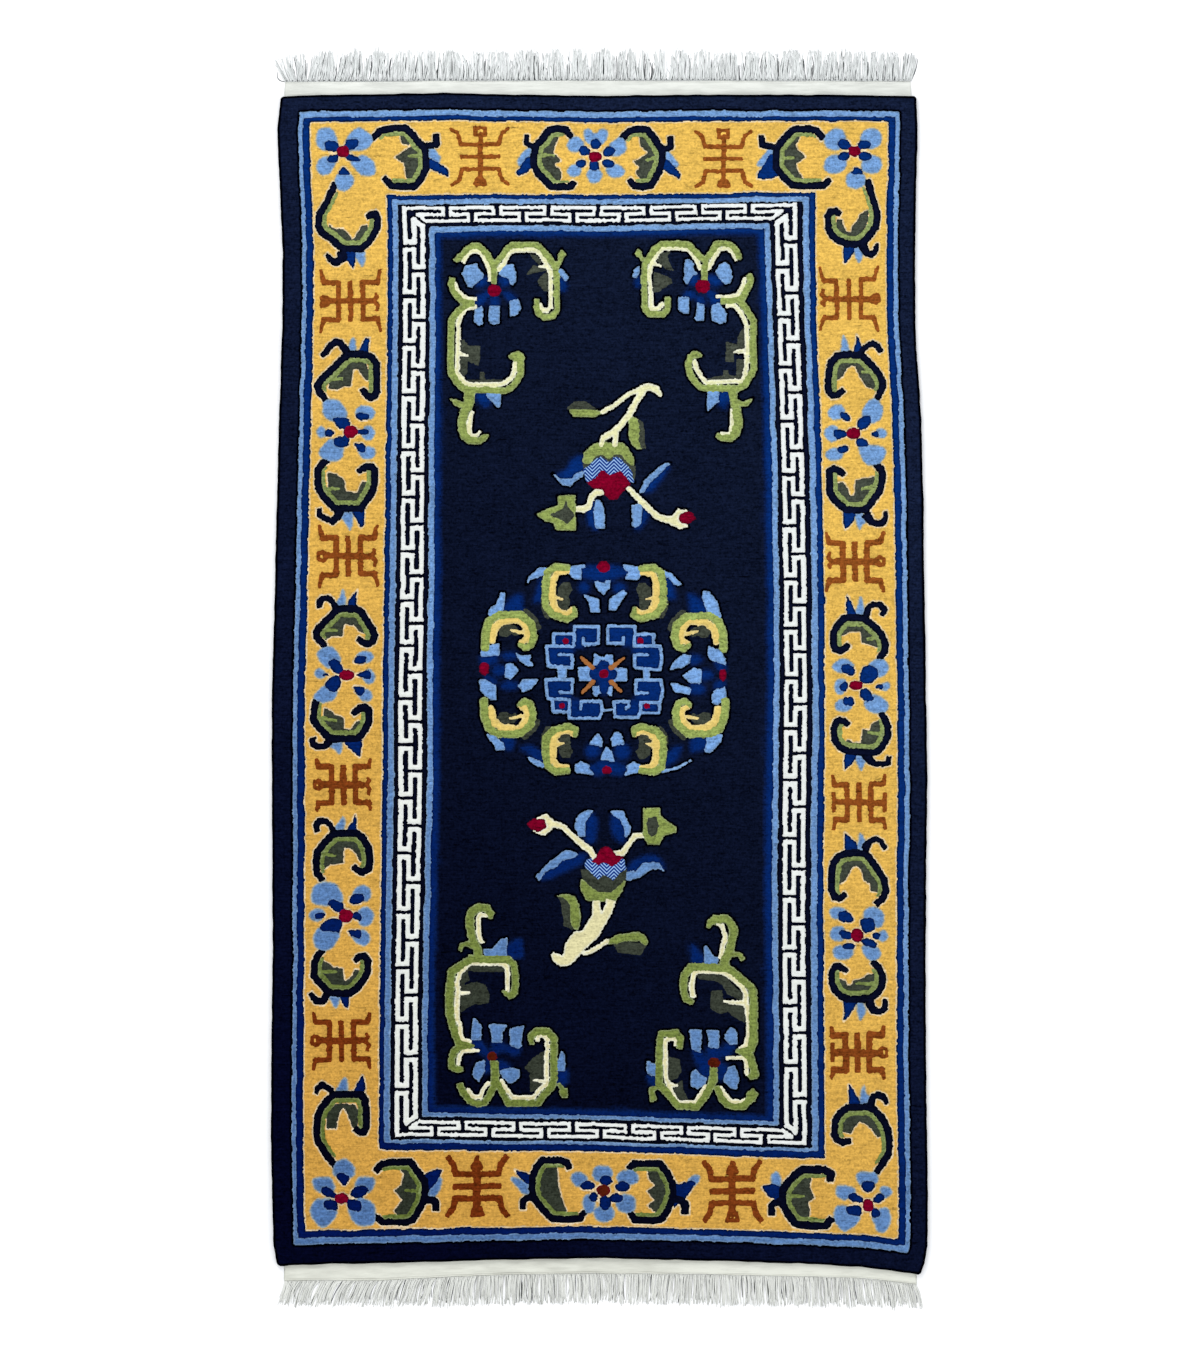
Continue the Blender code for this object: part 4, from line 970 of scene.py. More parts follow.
        19.5,-16, 8,-16, -1.5,-16, 4.5,-13, 2,-22, 0,-26, -5,-18, -14,-7], [5.6, 5, 5, 5, 4.6, 4.8, 5.4,
        5.4, 5, 4.8, 4.6, 4.6, 4.2, 2.4]), ([271,-607, -38,3.5], [5, 2.6]),
        ([237,-709.5, 34,0.5, 4.5,-9.5, 0.5,-22.5], [3, 3.8, 4.2, 4]),
        ([225.5,-763.5, 8.5,-13, 9.5,-12.5, 22.5,-3, 9.5,8], [3.6, 4, 4.2, 4.2, 3]),
        ([200,-762, -8,-11, -11.5,-18, -33.5,-1.5, -10,16, -8,19.5, -4.5,13, 0,32, -1.5,35, 6,4, 15,-0.5,
        -1,-11.5], 4.3), ([129,-758.5, 17,-2.5], [4, 3]),
        ([219,-458, 11.5,-5, 5,-18, -4.5,-19, -4,-22], [2.4, 4.2, 4.8, 4.6, 4.8])],
        green=[([202.5,-464.5, 4.5,9.5, 11,6, 19,0, 9,-8, 5.5,-12, -1.5,-13, -4,-18, -5,-16, -8,-17], [4,
        6.5, 8, 8, 8, 8, 8, 8, 8.5, 9]), ([242,-520.5, 12.5,6.5, 8.5,-2.5, 5,-8.5], [4, 4.4, 5, 5]),
        ([160,-554, 11,16, 68,-2, 11,-6, 12,-12, 14,-12, 11,-10, 1.5,-22, 0,-75, -4.5,-15, -28,-5.5], [7.5,
        7.5, 7, 7, 7, 7.5, 8, 8.4, 8.4, 7.5, 3.4]),
        ([160,-552, -3,-18, 0.5,-16, 3.5,-13, 12.5,-7], [7.5, 7.5, 7, 6.5, 5]),
        ([262,-698, 20,-8, 6.5,-21, 2.5,-13, -10,-6], [4, 7.5, 8, 8, 5.4]),
        ([219,-764, 9,-22, 11,-11, 13.5,-4, 18,1, 10.5,14, 5,12], [6, 6.5, 6.5, 6.5, 7, 8, 6.4]),
        ([213,-726, 0,-24, -8,-18, -11,-19, -11.5,-13, -36.5,2, -11,13, -13,17.5, -10,10.5, 0,75.5, 3,17.5,
        29,2, 8,-10, -1.5,-18], [7.5, 8, 7, 6.6, 6.6, 6.6, 6.8, 7, 7, 7, 7, 7, 7, 6]),
        ([114,-764, -17,-4, 5,-20], [3, 4.6, 6.4])], tips=[[286,-766, 11,-11, -6,-13, -14,2, -3,12]]),
]


def drawSpray(heart, olive, light, royal, cream, green, tips):
    draw("olive", olive)
    draw("royal", royal)
    draw("light", light)
    draw("cream", cream, flat=True)
    draw("green", green + tips, flat=True)
    draw("red", [soft(oval(*heart))])


for chart in sprays:
    drawSpray(**chart)
print("scene: corner sprays")

# The two peony sprays
upperPeony = [
    ("royal", [[-80,383, 19,9, 10,19, 16,9, 4,-28, -13,-7, -5,-10, -19,0]]),
    ("light", [[-90,387, 17,-12, 22,0, 7,11, 14,2, -3,-9, -9,-5, -12,-12, -14,1]]),
    ("royal", [[133,402, -5,-10, -16,-21, -12,-15, -17,-7, 7,13, 18,22]]),
    ("light", [[133,405, -12,0, -17,-13, -19,-17, -10,-23, 8,-1, 10,17, 17,16]]),
    ("royal", [[-13,332, -10,-27, 4,-16, 13,-11, 2,22, -2,30]]),
    ("light", [[-7,336, 8,0, 7.5,-16, 0,-36, -16.5,0, -3,24]]),
    ("royal", [[78,327, 12,-10, -2,-17, -10,-16, -12,-3, 4,19]]),
    ("light", [[61,325, 16,6, 3,-7, -3,-33, -11,-7, -4,5]]),
    ("olive", [[-61,507, 14,13, 19,1, 13,-9, 15,-9, -30,-3, -24,4]]),
    ("green", [[-57,504, 8,-11, 38,-2, 17,8, -12,5, -48,2]]),
    ("olive", [[70,490, 10,-9, 4,-17, 0,-19, 3,-12, -9,0, -6,19, 2,20]]),
    ("green", [[56,488, 7,4, 8,-5, 3.5,-16, -1.5,-24, 6,-13, -8,-2, -12,10, -5,15]]),
    ("olive", [[-30,405, 12,-5, 12,18, 10,6, 14,-12, 13,12, 12,-4, 13,-17, 10,-3, 2,-15, -3,-11, -15,16,
        -32,8, -48,-6]]),
    ("twill",
        [[-30,392, 11,8, 13,13, 9,4, 15,-11, 14,11, 10,-6, 17,-19, 6,-22, -16,6, -29,-4, -33,-2, -11,0]]),
    ("green", [[-30,408, 0,15, 17,17, 13,4, 42,0, 10,-9, 14,-24, -2,-11, -10,5, -12,16, -12,2, -12,-10,
        -14,9, -12,-5, -12,-14, -8,1]]),
    ("red", [[-23,368, 15,7, 11,16, 6,-1, 11,-9, 20,10, 9,-11, 9,-13, -14,-14, -12,-15, -12,-1, -14,11,
        -21,13]]),
    ("cream", [([113,535, -8,10, -15,3, -13,-7], [4.5, 6.5, 7, 7]),
        ([84,546, -14,-24, -14,-26, -16,-20, -16,-13, -16,-10, -5,-13], [6, 6.2, 6, 6, 6.4, 5.6, 4.2]),
        ([84,548, -30,-15, -24,-18, -24,-14], [5, 4.4, 4.4, 4.6]), ([30,466, -1,-26], [6, 4.4]),
        ([3,350, -9,1, -9,-10, -6,-18, -9,-4, -14,0], 5.8),
        ([56,358, 15,-16, 19,-20, 17,-16, 19,-7, 19,2], [5.2, 5.6, 6, 6.4, 6.6, 7]),
        [134,304, 13,16, 17,-3, -6,-11, 2,-14, 7,-6, -17,-3, -20,10]]),
    ("green", [[-119,310, 43,17, -2,17, 33,1, 1,-65, -36,-1, -5,14, -17,5]]),
    ("olive", [[-92,308, 23,11, 7,17, 5,-16, 12,-12, -16,-17, -10,9]]),
    ("red", [petal(163, 303, 15, 11.5), [170,311, 11,-9, -11,-7]]),
]
lowerPeony = [
    ("royal", [[-110,-375, 10,13, 30,21, 30,13, 17,-1, -15,-16, -23,-12, -35,-16]]),
    ("light", [[-119,-368, 7,-10, 8,16, 25,12, 8,10, 23,7, 9,6, -17,7, -8,1, -15,-13, -18,-13]]),
    ("royal", [[52,-358, 11,16, 20,11, 21,1, 14,-14, 3,-12, -21,10, -29,-10]]),
    ("light", [[50,-362, 18,2, 15,17, 27,0, 11,-17, -10,5, -13,0, -22,-15, -26,-8]]),
    ("royal", [[-13,-250, 8,-14, -5,-42, -13,2, -5,22, 4,20]]),
    ("light", [[-28,-245, 15,-1, -5,-8, -9,-14, 0,-26, -11,0, -8,18, 4,17]]),
    ("royal", [[23,-253, 15,-8, 9,-21, -4,-24, -15,12, -6,18]]),
    ("light", [[20,-246, 24,0, 4,-12, 9,-18, -2,-14, -8,-7, 0,15, -7,18, -15,11]]),
    ("olive", [[-78,-407, 12,-1, 12,-15, 0,-31, 6,-16, -18,9, -4,25, -1,15]]),
    ("green", [[-81,-405, 18,2, 15,-2, 9,-16, 4,-23, -3,-17, -5,-9, -10,11, -1,38, -12,11]]),
    ("olive", [[28,-498, 22,8, 36,-6, -8,-20, -42,5]]),
    ("green", [[15,-489, 20,12, 38,4, 11,-5, 7,-14, -5,-5, -13,8, -25,0, -18,-7, -13,-1]]),
    ("green", [[-35,-374, -1,-12, 2,-12, 11,-17, 51,-2, 15,22, 7,18, -30,-17, -23,0]]),
    ("olive", [[-35,-355, 4,-17, 13,-15, 15,-10, 23,-1, 20,15, 10,11, 0,16, -40,-4]]),
    ("twill", [[-22,-337, -7,-11, 14,-14, 12,-11, 13,8, 15,-11, 11,11, 13,10, -3,18]]),
    ("cream", [[-13,-416, -1,-25, -19,-30, -15,-3, -15,-20, -5,-24, -20,7, -3,-6, 5,-10, 13,-11, 12,1, 13,8,
        20,22, 25,25, 16,28, 10,18, 6,20, -16,6, -2,-13, -8,-16, -4,25],
        ([-30,-514, 12,3, 15,9, 17,11], [2, 4.4, 4.4, 4.4]),
        ([-10,-332, -8,13, -18,13, -17,15, -15,15, -16,4, -13,2], [5.6, 6.4, 6, 5, 5.2, 7, 9]),
        [-119,-259, 18,7, 15,-12, -4,-18, -11,-9, -13,1, -10,6, 12,8, 0,10],
        ([30,-326, 13,1, 14,20, 8,12, 17,1], [5.6, 6, 4.8, 5.4, 5.4])]),
    ("red", [[-13,-341, 8,9, 8,15, 9,5, 10,-5, 8,-13, 15,-2, -12,-13, -10,-5, -15,8, -10,-5]]),
    ("green", [[81,-242, 32,1, 1,-15, 29,-20, 0,-9, -24,-9, -8,-15, -22,0, -8,18]]),
    ("olive", [[91,-259, 15,0, 5,-15, -5,-15, -7,-6, -8,6, -3,13]]),
    ("red", [[-137,-271, 13,10, 20,-2, 5,-13, -15,-10, -15,6]]),
]
for name, chart in upperPeony + lowerPeony:
    draw(name, chart)
print("scene: peony sprays")

# Medallion
# curled hooks of the ring, charted for the upper left pair and mirrored into the other quarters
uprightHook = dict(
    shade=[([-31,-12, 1,-16, 8,-16], 5)],
    olive=[[-2,9, 9,10, 12,0, 5,-14, -6,-8, 1,-20, -6,-12, -10,2, -6,20]],
    yellow=[([14,39, -19,-1, -8,-16, 0,-29, 3,-19, 11,-11, 16,-2, 7,9], [4.6, 6, 6.4, 7, 7, 6, 5, 3.6]),
        ([-8,-9, 14,-3], [4.6, 1.8])],
    green=[([14,47, -22,2, -15,-11, -4,-29, 1,-32, 13,-18, 28,-9, 14,8, -1,12], [6.5, 7, 7, 7.2, 7.2, 7.2,
        6.5, 6, 4.5])],
)
levelHook = dict(
    shade=[([30,38, 18,-16, 6,-14], 5)],
    olive=[[-22,8, 14,5, 18,-3, 10,-10, -8,-8, -10,4, -8,-6, -12,2]],
    yellow=[([-33,-16, 2,22, 19,13, 30,2, 16,-16, 0,-19, -14,-6], [7, 8.4, 6.4, 5.6, 7, 6.4, 4]),
        ([24,-2, -22,4], [4, 1.8])],
    green=[([-47,-30, 1,28, 8,22, 18,11, 42,0, 20,-17, 4,-22, -6,-18, -11,-5, -10,7], [8, 8, 7.6, 7, 7, 7.2,
        7.2, 6.8, 6.2, 4.5])],
)
# hooks: chart, middle, mirrored across, mirrored along, stretch along
hooks = [
    (uprightHook, -75, 163, 1, 1, 1.0),
    (uprightHook, 93, 162, -1, 1, 0.99),
    (uprightHook, -74, -130, 1, -1, 0.86),
    (uprightHook, 93, -131, -1, -1, 0.86),
    (levelHook, -168, 90, 1, 1, 1.0),
    (levelHook, -170, -71, 1, -1, 1.0),
    (levelHook, 186, 88, -1, 1, 1.0),
    (levelHook, 188, -71, -1, -1, 1.0),
]


def drawHook(chart, x, y, across, along, stretch):
    def place(a, b):
        return (x + a * across, y + b * along * stretch)

    draw("olive", moved(chart["shade"], place))
    for name in ("olive", "yellow", "green"):
        draw(name, moved(chart[name], place))


medallionPetals = [
    ("light", [-137,177, 5,15, 20,18, 22,0, -16,-14, -22,-9]),
    ("royal", [-110,192, 3,-20, -5,-24, -12,-4, 6,19]),
    ("light", [115,205, 19,-6, 22,-22, -15,0, -9,13, -20,6]),
    ("royal", [121,188, 12,0, 10,-35, -18,-2]),
    ("light", [-184,164, 8,-1, -2,-20, -4,-18, -26,-3, 2,8, 14,13]),
    ("royal", [-155,160, 10,-4, 1,-30, -36,0, 10,20]),
    ("light", [194,167, 11,-2, 16,-22, 9,-35, -18,10, -12,12, -8,23]),
    ("royal", [165,162, 17,-6, 19,-28, -29,-4]),
    ("light", [-214,-102, 16,-4, 19,-14, 1,-12, -16,-1, -5,12]),
    ("royal", [-182,-108, 22,-2, -3,-20, -13,-2]),
    ("royal", [-147,-128, 19,3, 24,-15, 0,-14, -14,6]),
    ("light", [-136,-143, 18,-7, 18,-10, -8,-6, -20,11]),
    ("royal", [171,-136, 1,24, 30,8, -4,-25]),
    ("light", [202,-108, 27,6, 0,-14, -21,-22, -11,2]),
    ("royal", [128,-142, 10,14, 17,3, -11,-23, -22,-16]),
    ("light", [-58,210, 29,5, 5,-8, -11,-6, 0,-14, -13,1, -10,12]),
    ("light", [42,215, 38,-4, 0,-11, -10,-14, -22,2, 5,10]),
    ("royal", [-35,207, 19,6, 48,0, 22,-13, -12,-6, -20,-7, -28,-1, -23,5]),
    ("light", [-10,185, 18,-5, 13,8, -2,-16, -11,-14, -11,10]),
    ("light", [-29,159, 29,-9, 0,-23, -16,0, -3,16]),
    ("light", [43,167, 7,-6, -12,-18, -8,-14, -13,0, 2,21]),
    ("light", [-187,68, -2,-24, -32,-5, -3,11, 10,12]),
    ("light", [-224,-1, 13,0, 16,-8, 2,-29, -11,0, -14,12, -6,6]),
    ("royal", [-224,40, 34,4, -4,-14, -11,-2, -17,2]),
    ("royal", [-216,8, 16,-4, 8,-6, -4,-7, -16,9]),
    ("light", [-176,28, 13,3, 12,-14, -15,-16, -11,4]),
    ("light", [-158,50, 14,-6, 16,2, -3,-10, 8,-10, -11,-1, -13,9]),
    ("light", [-114,0, -30,-1, -8,-10, 8,-12, 16,6]),
    ("light", [205,62, 20,-7, 11,-15, 1,-14, -15,6, -15,6, -4,12]),
    ("light", [210,-29, 6,9, 19,8, 2,-22, -15,-12, -11,2]),
    ("royal", [216,34, 21,-8, -2,-10, -13,4]),
    ("royal", [216,-5, 19,2, 0,-11, -19,-4]),
    ("light", [190,18, -14,4, -19,-15, 14,-14, 18,1]),
    ("light", [171,46, -16,0, -17,-15, -7,-13, 23,4, 14,9]),
    ("light", [133,-7, 14,-1, 24,-9, -3,-11, -27,6]),
    ("light", [-45,-160, 10,7, 16,-8, 3,-8, 6,-11, -19,5, -16,2]),
    ("light", [51,-162, 13,9, 12,-7, -2,-14, -29,-6, 6,10]),
    ("royal", [-19,-164, 19,10, 32,-2, 19,-8, -9,-13, -52,0]),
    ("light", [13,-124, 9,-11, 7,-21, -13,5, -14,1]),
    ("light", [-3,-101, 8,-9, 0,-16, -10,4, -13,0, 4,9]),
    ("light", [29,-98, 11,-4, 7,-20, -12,0, -11,-4, -2,16]),
]
draw("royal", [
    petal(-29, 172, 10, 10), petal(37, 171, 11, 9), petal(-187, 17, 14, 9), petal(-168, 45, 14, 7),
    petal(-168, -12, 17, 7), petal(199, 9, 14, 9), petal(176, 38, 16, 8), petal(182, -18, 16, 9),
    petal(-13, -134, 14, 12), petal(43, -135, 14, 14),
])
for name, run in medallionPetals:
    draw(name, [run])
draw("light", [([117,-172, 27,6, 27,15], [2.6, 2.6, 2.0])])
for row in hooks:
    drawHook(*row)
draw("red", [
    petal(8, 211, 12, 11), petal(-216, 20, 9.5, 12), petal(231, 9, 6.5, 11), petal(14, -170, 9.5, 8),
])

# the key lattice: royal grounds, light outlines, then the cross flower
keyGrounds = [
    [-50,101, 50,0, 0,-35, -40,-6, -10,-2], [15,103, 53,-1, -2,-40, -51,4], [-100,62, 50,1, 0,-41, -46,3],
    [64,62, 51,1, -1,-45, -49,4], [-87,86, 36,0, 0,-24, -36,0], [66,84, 36,0, -1,-22, -35,0],
    [-101,0, 49,1, 0,-26, -3,-13, -43,0], [68,-1, 48,0, -1,-41, -47,2], [-90,-37, 35,-1, -1,-24, -30,2],
    [77,-42, 35,0, -2,-21, -33,0], [-56,-38, 59,-3, -1,-32, -59,0], [27,-42, 51,1, -2,-30, -48,0],
]
keyLines = [
    [-48,63, 1,36, 45,0, 0,-32, -28,0, 0,10], [45,79, 0,-12, -29,0, 0,34, 51,-1, -2,-37],
    [-51,86, -36,0, 0,-23], [67,84, 35,0, -1,-21], [-50,62, -49,0, 3,-37, 45,-3, 0,24, -25,0],
    [65,62, 49,1, 3,-25, -5,-20, -46,4, 0,24, 25,0],
    [-75,-22, 3,-3, 21,0, 0,25, -50,0, 4,-36, 41,-2, 0,-24, -31,2, -2,22],
    [91,-25, -24,0, 1,24, 47,0, 3,-22, -5,-20, -36,0, 0,-20, 34,0, 1,19],
    [-35,-55, 0,14, 37,0, 3,-14, -5,-18, -57,0, 0,13], [50,-54, 5,2, 0,11, -28,-1, 2,-29, 44,0, 4,11],
]
for ground in keyGrounds:
    draw("royal", [ground], margin=6)
draw("light", [(run, 2.9) for run in keyLines], margin=6)
draw("light", [[-79,3, 16,0, 0,19, -16,0], [82,0, 12,0, -1,21, -11,0]])
draw("light", [([4,-59, 18,2], 2.2)])
draw("red", [petal(-64, 72, 6, 6), petal(77, 72, 6, 6), petal(-70, -49, 6, 6), petal(89, -50, 6, 5.5)])
draw("light", [
    [-10,49, 8,-3, 11,-5, 4,6, 12,-1, 1,-18, -36,0],
    [-40,22, 26,2, 2,-26, -26,0],
    [26,22, 25,-1, 0,-24, -25,0],
    [-13,-14, 38,0, -2,-17, -12,6, -13,-2, -5,-7, -5,5],
])
draw("royal", [petal(8, 27, 11, 10), ([8,26, 0,-44], 9.0), ([-9,10, 33,0], 10.0)])
draw("orange", [
    ([-34,40, 21,-17], [3.0, 5.0]),
    ([47,41, -25,-19], [2.0, 4.8]),
    ([-33,-26, 21,22], [2.6, 4.8]),
    ([40,-22, -18,18], [2.4, 4.8]),
])
draw("red", [petal(8, 10.5, 9, 8.5)])
print("scene: medallion")

# Surface of the pile
lightness = dict(
    navy=0.05, light=0.6, royal=0.16, gold=0.75, black=0.0, white=1.0, rust=0.5, leaf=0.5, green=0.55,
    olive=0.15, cream=0.9, red=0.2, yellow=0.8, orange=0.45, twill=0.5,
)
lightOf = np.array([lightness[name] for name in yarns])


def cornerYarns():
    # the yarns of the four cells round each grid point, edge cells repeated outwards
    padded = np.pad(cellYarn, 1, mode="edge")
    return np.stack([padded[:-1, :-1], padded[1:, :-1], padded[:-1, 1:], padded[1:, 1:]])


def settleSurface(p):
    around = cornerYarns()
    boundary = around.max(axis=0) != around.min(axis=0)
    shade = lightOf[around]
    contrast = shade.max(axis=0) - shade.min(axis=0)
    # boundary points slide onto the drawn edge: move = -s * slope, at most 0.7 of a cell
    length = np.maximum(np.hypot(nearX, nearY), 0.3)
    shift = np.clip(-nearS, -0.7 * cellSize, 0.7 * cellSize) * boundary * (fromEdge > 6)
    x = gridX + shift * nearX / length
    y = gridY + shift * nearY / length
    # distance to the nearest boundary point, swept over the neighbours, with its contrast
    reach = 3
    distance = np.where(boundary, 0.0, 99.0)
    edgeContrast = np.where(boundary, contrast, 0.0)
    for dr in range(-reach, reach + 1):
        for dc in range(-reach, reach + 1):
            if dr == 0 and dc == 0:
                continue
            a = (slice(max(dr, 0), rows + min(dr, 0)), slice(max(dc, 0), columns + min(dc, 0)))
            b = (slice(max(-dr, 0), rows + min(-dr, 0)), slice(max(-dc, 0), columns + min(-dc, 0)))
            d = np.hypot(x[a] - x[b], y[a] - y[b])
            better = boundary[b] & (d < distance[a])
            distance[a] = np.where(better, d, distance[a])
            edgeContrast[a] = np.where(better, contrast[b], edgeContrast[a])
    drawn = np.maximum(np.abs(nearS), 0.3 * distance)
    distance = np.where(distance < 6, np.minimum(distance, drawn), distance)
    distance[boundary] = 0
    # height = top - carving - rounded edge + slow swell
    deep = (0.25 + 0.75 * np.clip(edgeContrast * 1.8, 0, 1)) * p["carveDepth"]
    carve = deep * np.exp(-((distance / p["carveWidth"]) ** 2))
    t = np.clip(fromEdge / p["edgeWidth"], 0, 1)
    drop = (p["top"] - p["edgeTop"]) * (1 - np.sqrt(1 - (1 - t) ** 2))
    swell = smoothNoise(x, y, 130, 21) * 0.35 + smoothNoise(x, y, 47, 22) * 0.25
    swell = swell + smoothNoise(x, y, 11, 23) * 0.12
    z = p["top"] - 0.5 - carve - drop + swell
    # painted shade and highlight: rim rises beside carved edges between unlike yarns and at the outer edge
    rim = np.clip((edgeContrast - 0.2) * 2.4, 0, 1) * np.exp(-((distance / p["rimWidth"]) ** 2))
    rim = np.maximum(rim, np.exp(-((fromEdge / 3.2) ** 2)))
    return x, y, z, distance, rim


pileX, pileY, pileZ, toBoundary, rimShadeAndHighlight = settleSurface(pile)
print("scene: surface settled")

# some pairs of yarns run into each other: partner, reach in cells, and the tone of both where they meet
partners = dict(
    light=("gold", 1, (156, 170, 166)),
    gold=("light", 1, (156, 170, 166)),
    royal=("navy", 2, (9, 32, 84)),
    navy=("royal", 2, (9, 32, 84)),
    red=("navy", 1, (84, 8, 28)),
)


def spreadShare(mine, other, reach):
    # share of the partner's cells among both yarns' in the square of 2 * reach + 2 cells round each point
    size = 2 * reach + 2
    both = []
    for name in (mine, other):
        cells = np.pad((cellYarn == yarnNumber[name]).astype(float), reach + 1)
        total = np.cumsum(np.cumsum(np.pad(cells, ((1, 0), (1, 0))), axis=0), axis=1)
        both.append(total[size:, size:] - total[:-size, size:] - total[size:, :-size] + total[:-size, :-size])
    # twice the share, so that it is 1 at a straight edge, made steeper for the short reach
    share = both[1] / np.maximum(both[0] + both[1], 1)
    return np.clip(1 + (share - 0.5) * (3.0 if reach == 1 else 2.0), 0, 1)


def blockFaces():
    # plain 4 by 4 and 2 by 2 blocks of cells become one face each, which keeps the corners that others use
    done = np.zeros(cellYarn.shape, bool)
    plainCell = (toBoundary > 4.2) & (fromEdge > 9)
    plainCell = plainCell[:-1, :-1] & plainCell[1:, :-1] & plainCell[:-1, 1:] & plainCell[1:, 1:]
    used = np.zeros(gridX.shape, bool)
    found = []
    for size in (4, 2, 1):
        r = cellYarn.shape[0] // size
        c = cellYarn.shape[1] // size
        yarn = cellYarn.reshape(r, size, c, size)
        if size > 1:
            free = ~done.reshape(r, size, c, size)
            plain = (plainCell.reshape(r, size, c, size) & free).all(axis=(1, 3))
            plain &= yarn.max(axis=(1, 3)) == yarn.min(axis=(1, 3))
        else:
            plain = ~done
        done |= np.repeat(np.repeat(plain, size, axis=0), size, axis=1)
        rr, cc = np.argwhere(plain).T * size
        for a in (0, size):
            for b in (0, size):
                used[rr + a, cc + b] = True
        found.append((size, rr, cc))
    faces = []
    for size, rr, cc in found:
        # round the block: along the bottom, up the right, back along the top, down the left
        k = np.arange(size)
        dr = np.concatenate([0 * k, k, 0 * k + size, size - k])
        dc = np.concatenate([k, 0 * k + size, size - k, 0 * k])
        corner = np.concatenate([k == 0] * 4)
        ring = (rr[:, None] + dr) * columns + cc[:, None] + dc
        keep = used.ravel()[ring] | corner
        faces.append((cellYarn[rr, cc], ring, keep))
    return faces


def meshPiece(name, points, loops, counts, smooth=True):
    mesh = bpy.data.meshes.new(name)
    mesh.vertices.add(len(points))
    mesh.vertices.foreach_set("co", np.ascontiguousarray(points, np.float32).ravel())
    mesh.loops.add(len(loops))
    mesh.loops.foreach_set("vertex_index", np.ascontiguousarray(loops, np.int32))
    mesh.polygons.add(len(counts))
    starts = np.concatenate([[0], np.cumsum(counts)[:-1]]).astype(np.int32)
    mesh.polygons.foreach_set("loop_start", starts)
    mesh.polygons.foreach_set("use_smooth", np.full(len(counts), smooth))
    mesh.update(calc_edges=True)
    piece = bpy.data.objects.new(name, mesh)
    bpy.context.collection.objects.link(piece)
    return piece


def ringOrder(n, m):
    # points of an n by m grid round its outline, anticlockwise
    bottom = np.arange(m - 1)
    right = np.arange(n - 1) * m + m - 1
    top = (n - 1) * m + np.arange(m - 1, 0, -1)
    left = np.arange(n - 1, 0, -1) * m
    return np.concatenate([bottom, right, top, left])


def wallQuads(low, high):
    # a quad from each point of the lower ring to the next, and up to the ring above
    return np.stack([low, np.roll(low, -1), np.roll(high, -1), high], axis=1)


def wallRings(ring, x, y):
    # two rings under the outline: slightly bulged, then tucked in at the floor
    heights = [(4.4, 0.5), (0.4, -0.7)]
    px = x.ravel()[ring]
    py = y.ravel()[ring]
    tx = np.roll(px, -1) - np.roll(px, 1)
    ty = np.roll(py, -1) - np.roll(py, 1)
    size = np.maximum(np.hypot(tx, ty), 1e-6)
    rings = []
    for z, out in heights:
        rings.append(np.stack([px + ty / size * out, py - tx / size * out, np.full(len(ring), z)], axis=1))
    return rings


faces = blockFaces()
ring = ringOrder(rows, columns)
gridPoints = np.stack([pileX.ravel(), pileY.ravel(), pileZ.ravel()], axis=1)
allPoints = np.concatenate([gridPoints, *wallRings(ring, pileX, pileY)]) * metre
# painted rim shade and highlight at the grid points, none on the walls
allRimShadeAndHighlight = np.concatenate([rimShadeAndHighlight.ravel(), np.zeros(2 * len(ring))])
firstWall = rows * columns + np.arange(len(ring))
walls = np.concatenate([wallQuads(firstWall, ring), wallQuads(firstWall + len(ring), firstWall)])


def yarnPiece(number):
    loops = []
    counts = []
    for yarn, ringIndex, keep in faces:
        mine = yarn == number
        if mine.any():
            loops.append(ringIndex[mine][keep[mine]])
            counts.append(keep[mine].sum(axis=1))
    if number == 0:
        loops.append(walls.ravel())
        counts.append(np.full(len(walls), 4))
    loops = np.concatenate(loops)
    counts = np.concatenate(counts)
    keepPoints, local = np.unique(loops, return_inverse=True)
    piece = meshPiece("Pile_" + yarns[number], allPoints[keepPoints], local, counts)
    # the painted rim shade and highlight goes on as the point attribute rim
    rim = piece.data.attributes.new("rim", "FLOAT", "POINT")
    rim.data.foreach_set("value", allRimShadeAndHighlight[keepPoints].astype(np.float32))
    if yarns[number] in partners:
        share = spreadShare(yarns[number], *partners[yarns[number]][:2])
        share = np.concatenate([share.ravel(), np.zeros(2 * len(ring))])
        haze = piece.data.attributes.new("haze", "FLOAT", "POINT")
        haze.data.foreach_set("value", share[keepPoints].astype(np.float32))
    print("scene: yarn", yarns[number], "triangles", int((counts - 2).sum()))
    return piece


# Materials: every one reads Object coordinates and the pieces' own attributes
def node(tree, kind, **values):
    made = tree.nodes.new(kind)
    for key, value in values.items():
        if key.startswith("in_"):
            made.inputs[key[3:].replace("_", " ")].default_value = value
        else:
            setattr(made, key, value)
    return made


def mathNode(tree, how, a, b):
    made = tree.nodes.new("ShaderNodeMath")
    made.operation = how
    for i, value in enumerate((a, b)):
        if isinstance(value, (int, float)):
            made.inputs[i].default_value = value
        else:
            tree.links.new(value, made.inputs[i])
    return made.outputs[0]


def plus(tree, value, source, amount):
    # value + source * amount
    return mathNode(tree, "ADD", value, mathNode(tree, "MULTIPLY", source, amount))


def mixColour(tree, share, a, b, how="MIX"):
    made = tree.nodes.new("ShaderNodeMix")
    made.data_type = "RGBA"
    made.blend_type = how
    for i, value in ((0, share), (6, a), (7, b)):
        if isinstance(value, (int, float)):
            made.inputs[i].default_value = value
        elif isinstance(value, tuple):
            made.inputs[i].default_value = (*value[:3], 1)
        else:
            tree.links.new(value, made.inputs[i])
    return made.outputs[2]


def ramp(tree, value, low, high):
    # 0 at low, 1 at high, straight between and held outside
    made = node(tree, "ShaderNodeMapRange")
    tree.links.new(value, made.inputs["Value"])
    made.inputs["From Min"].default_value = low
    made.inputs["From Max"].default_value = high
    return made.outputs[0]


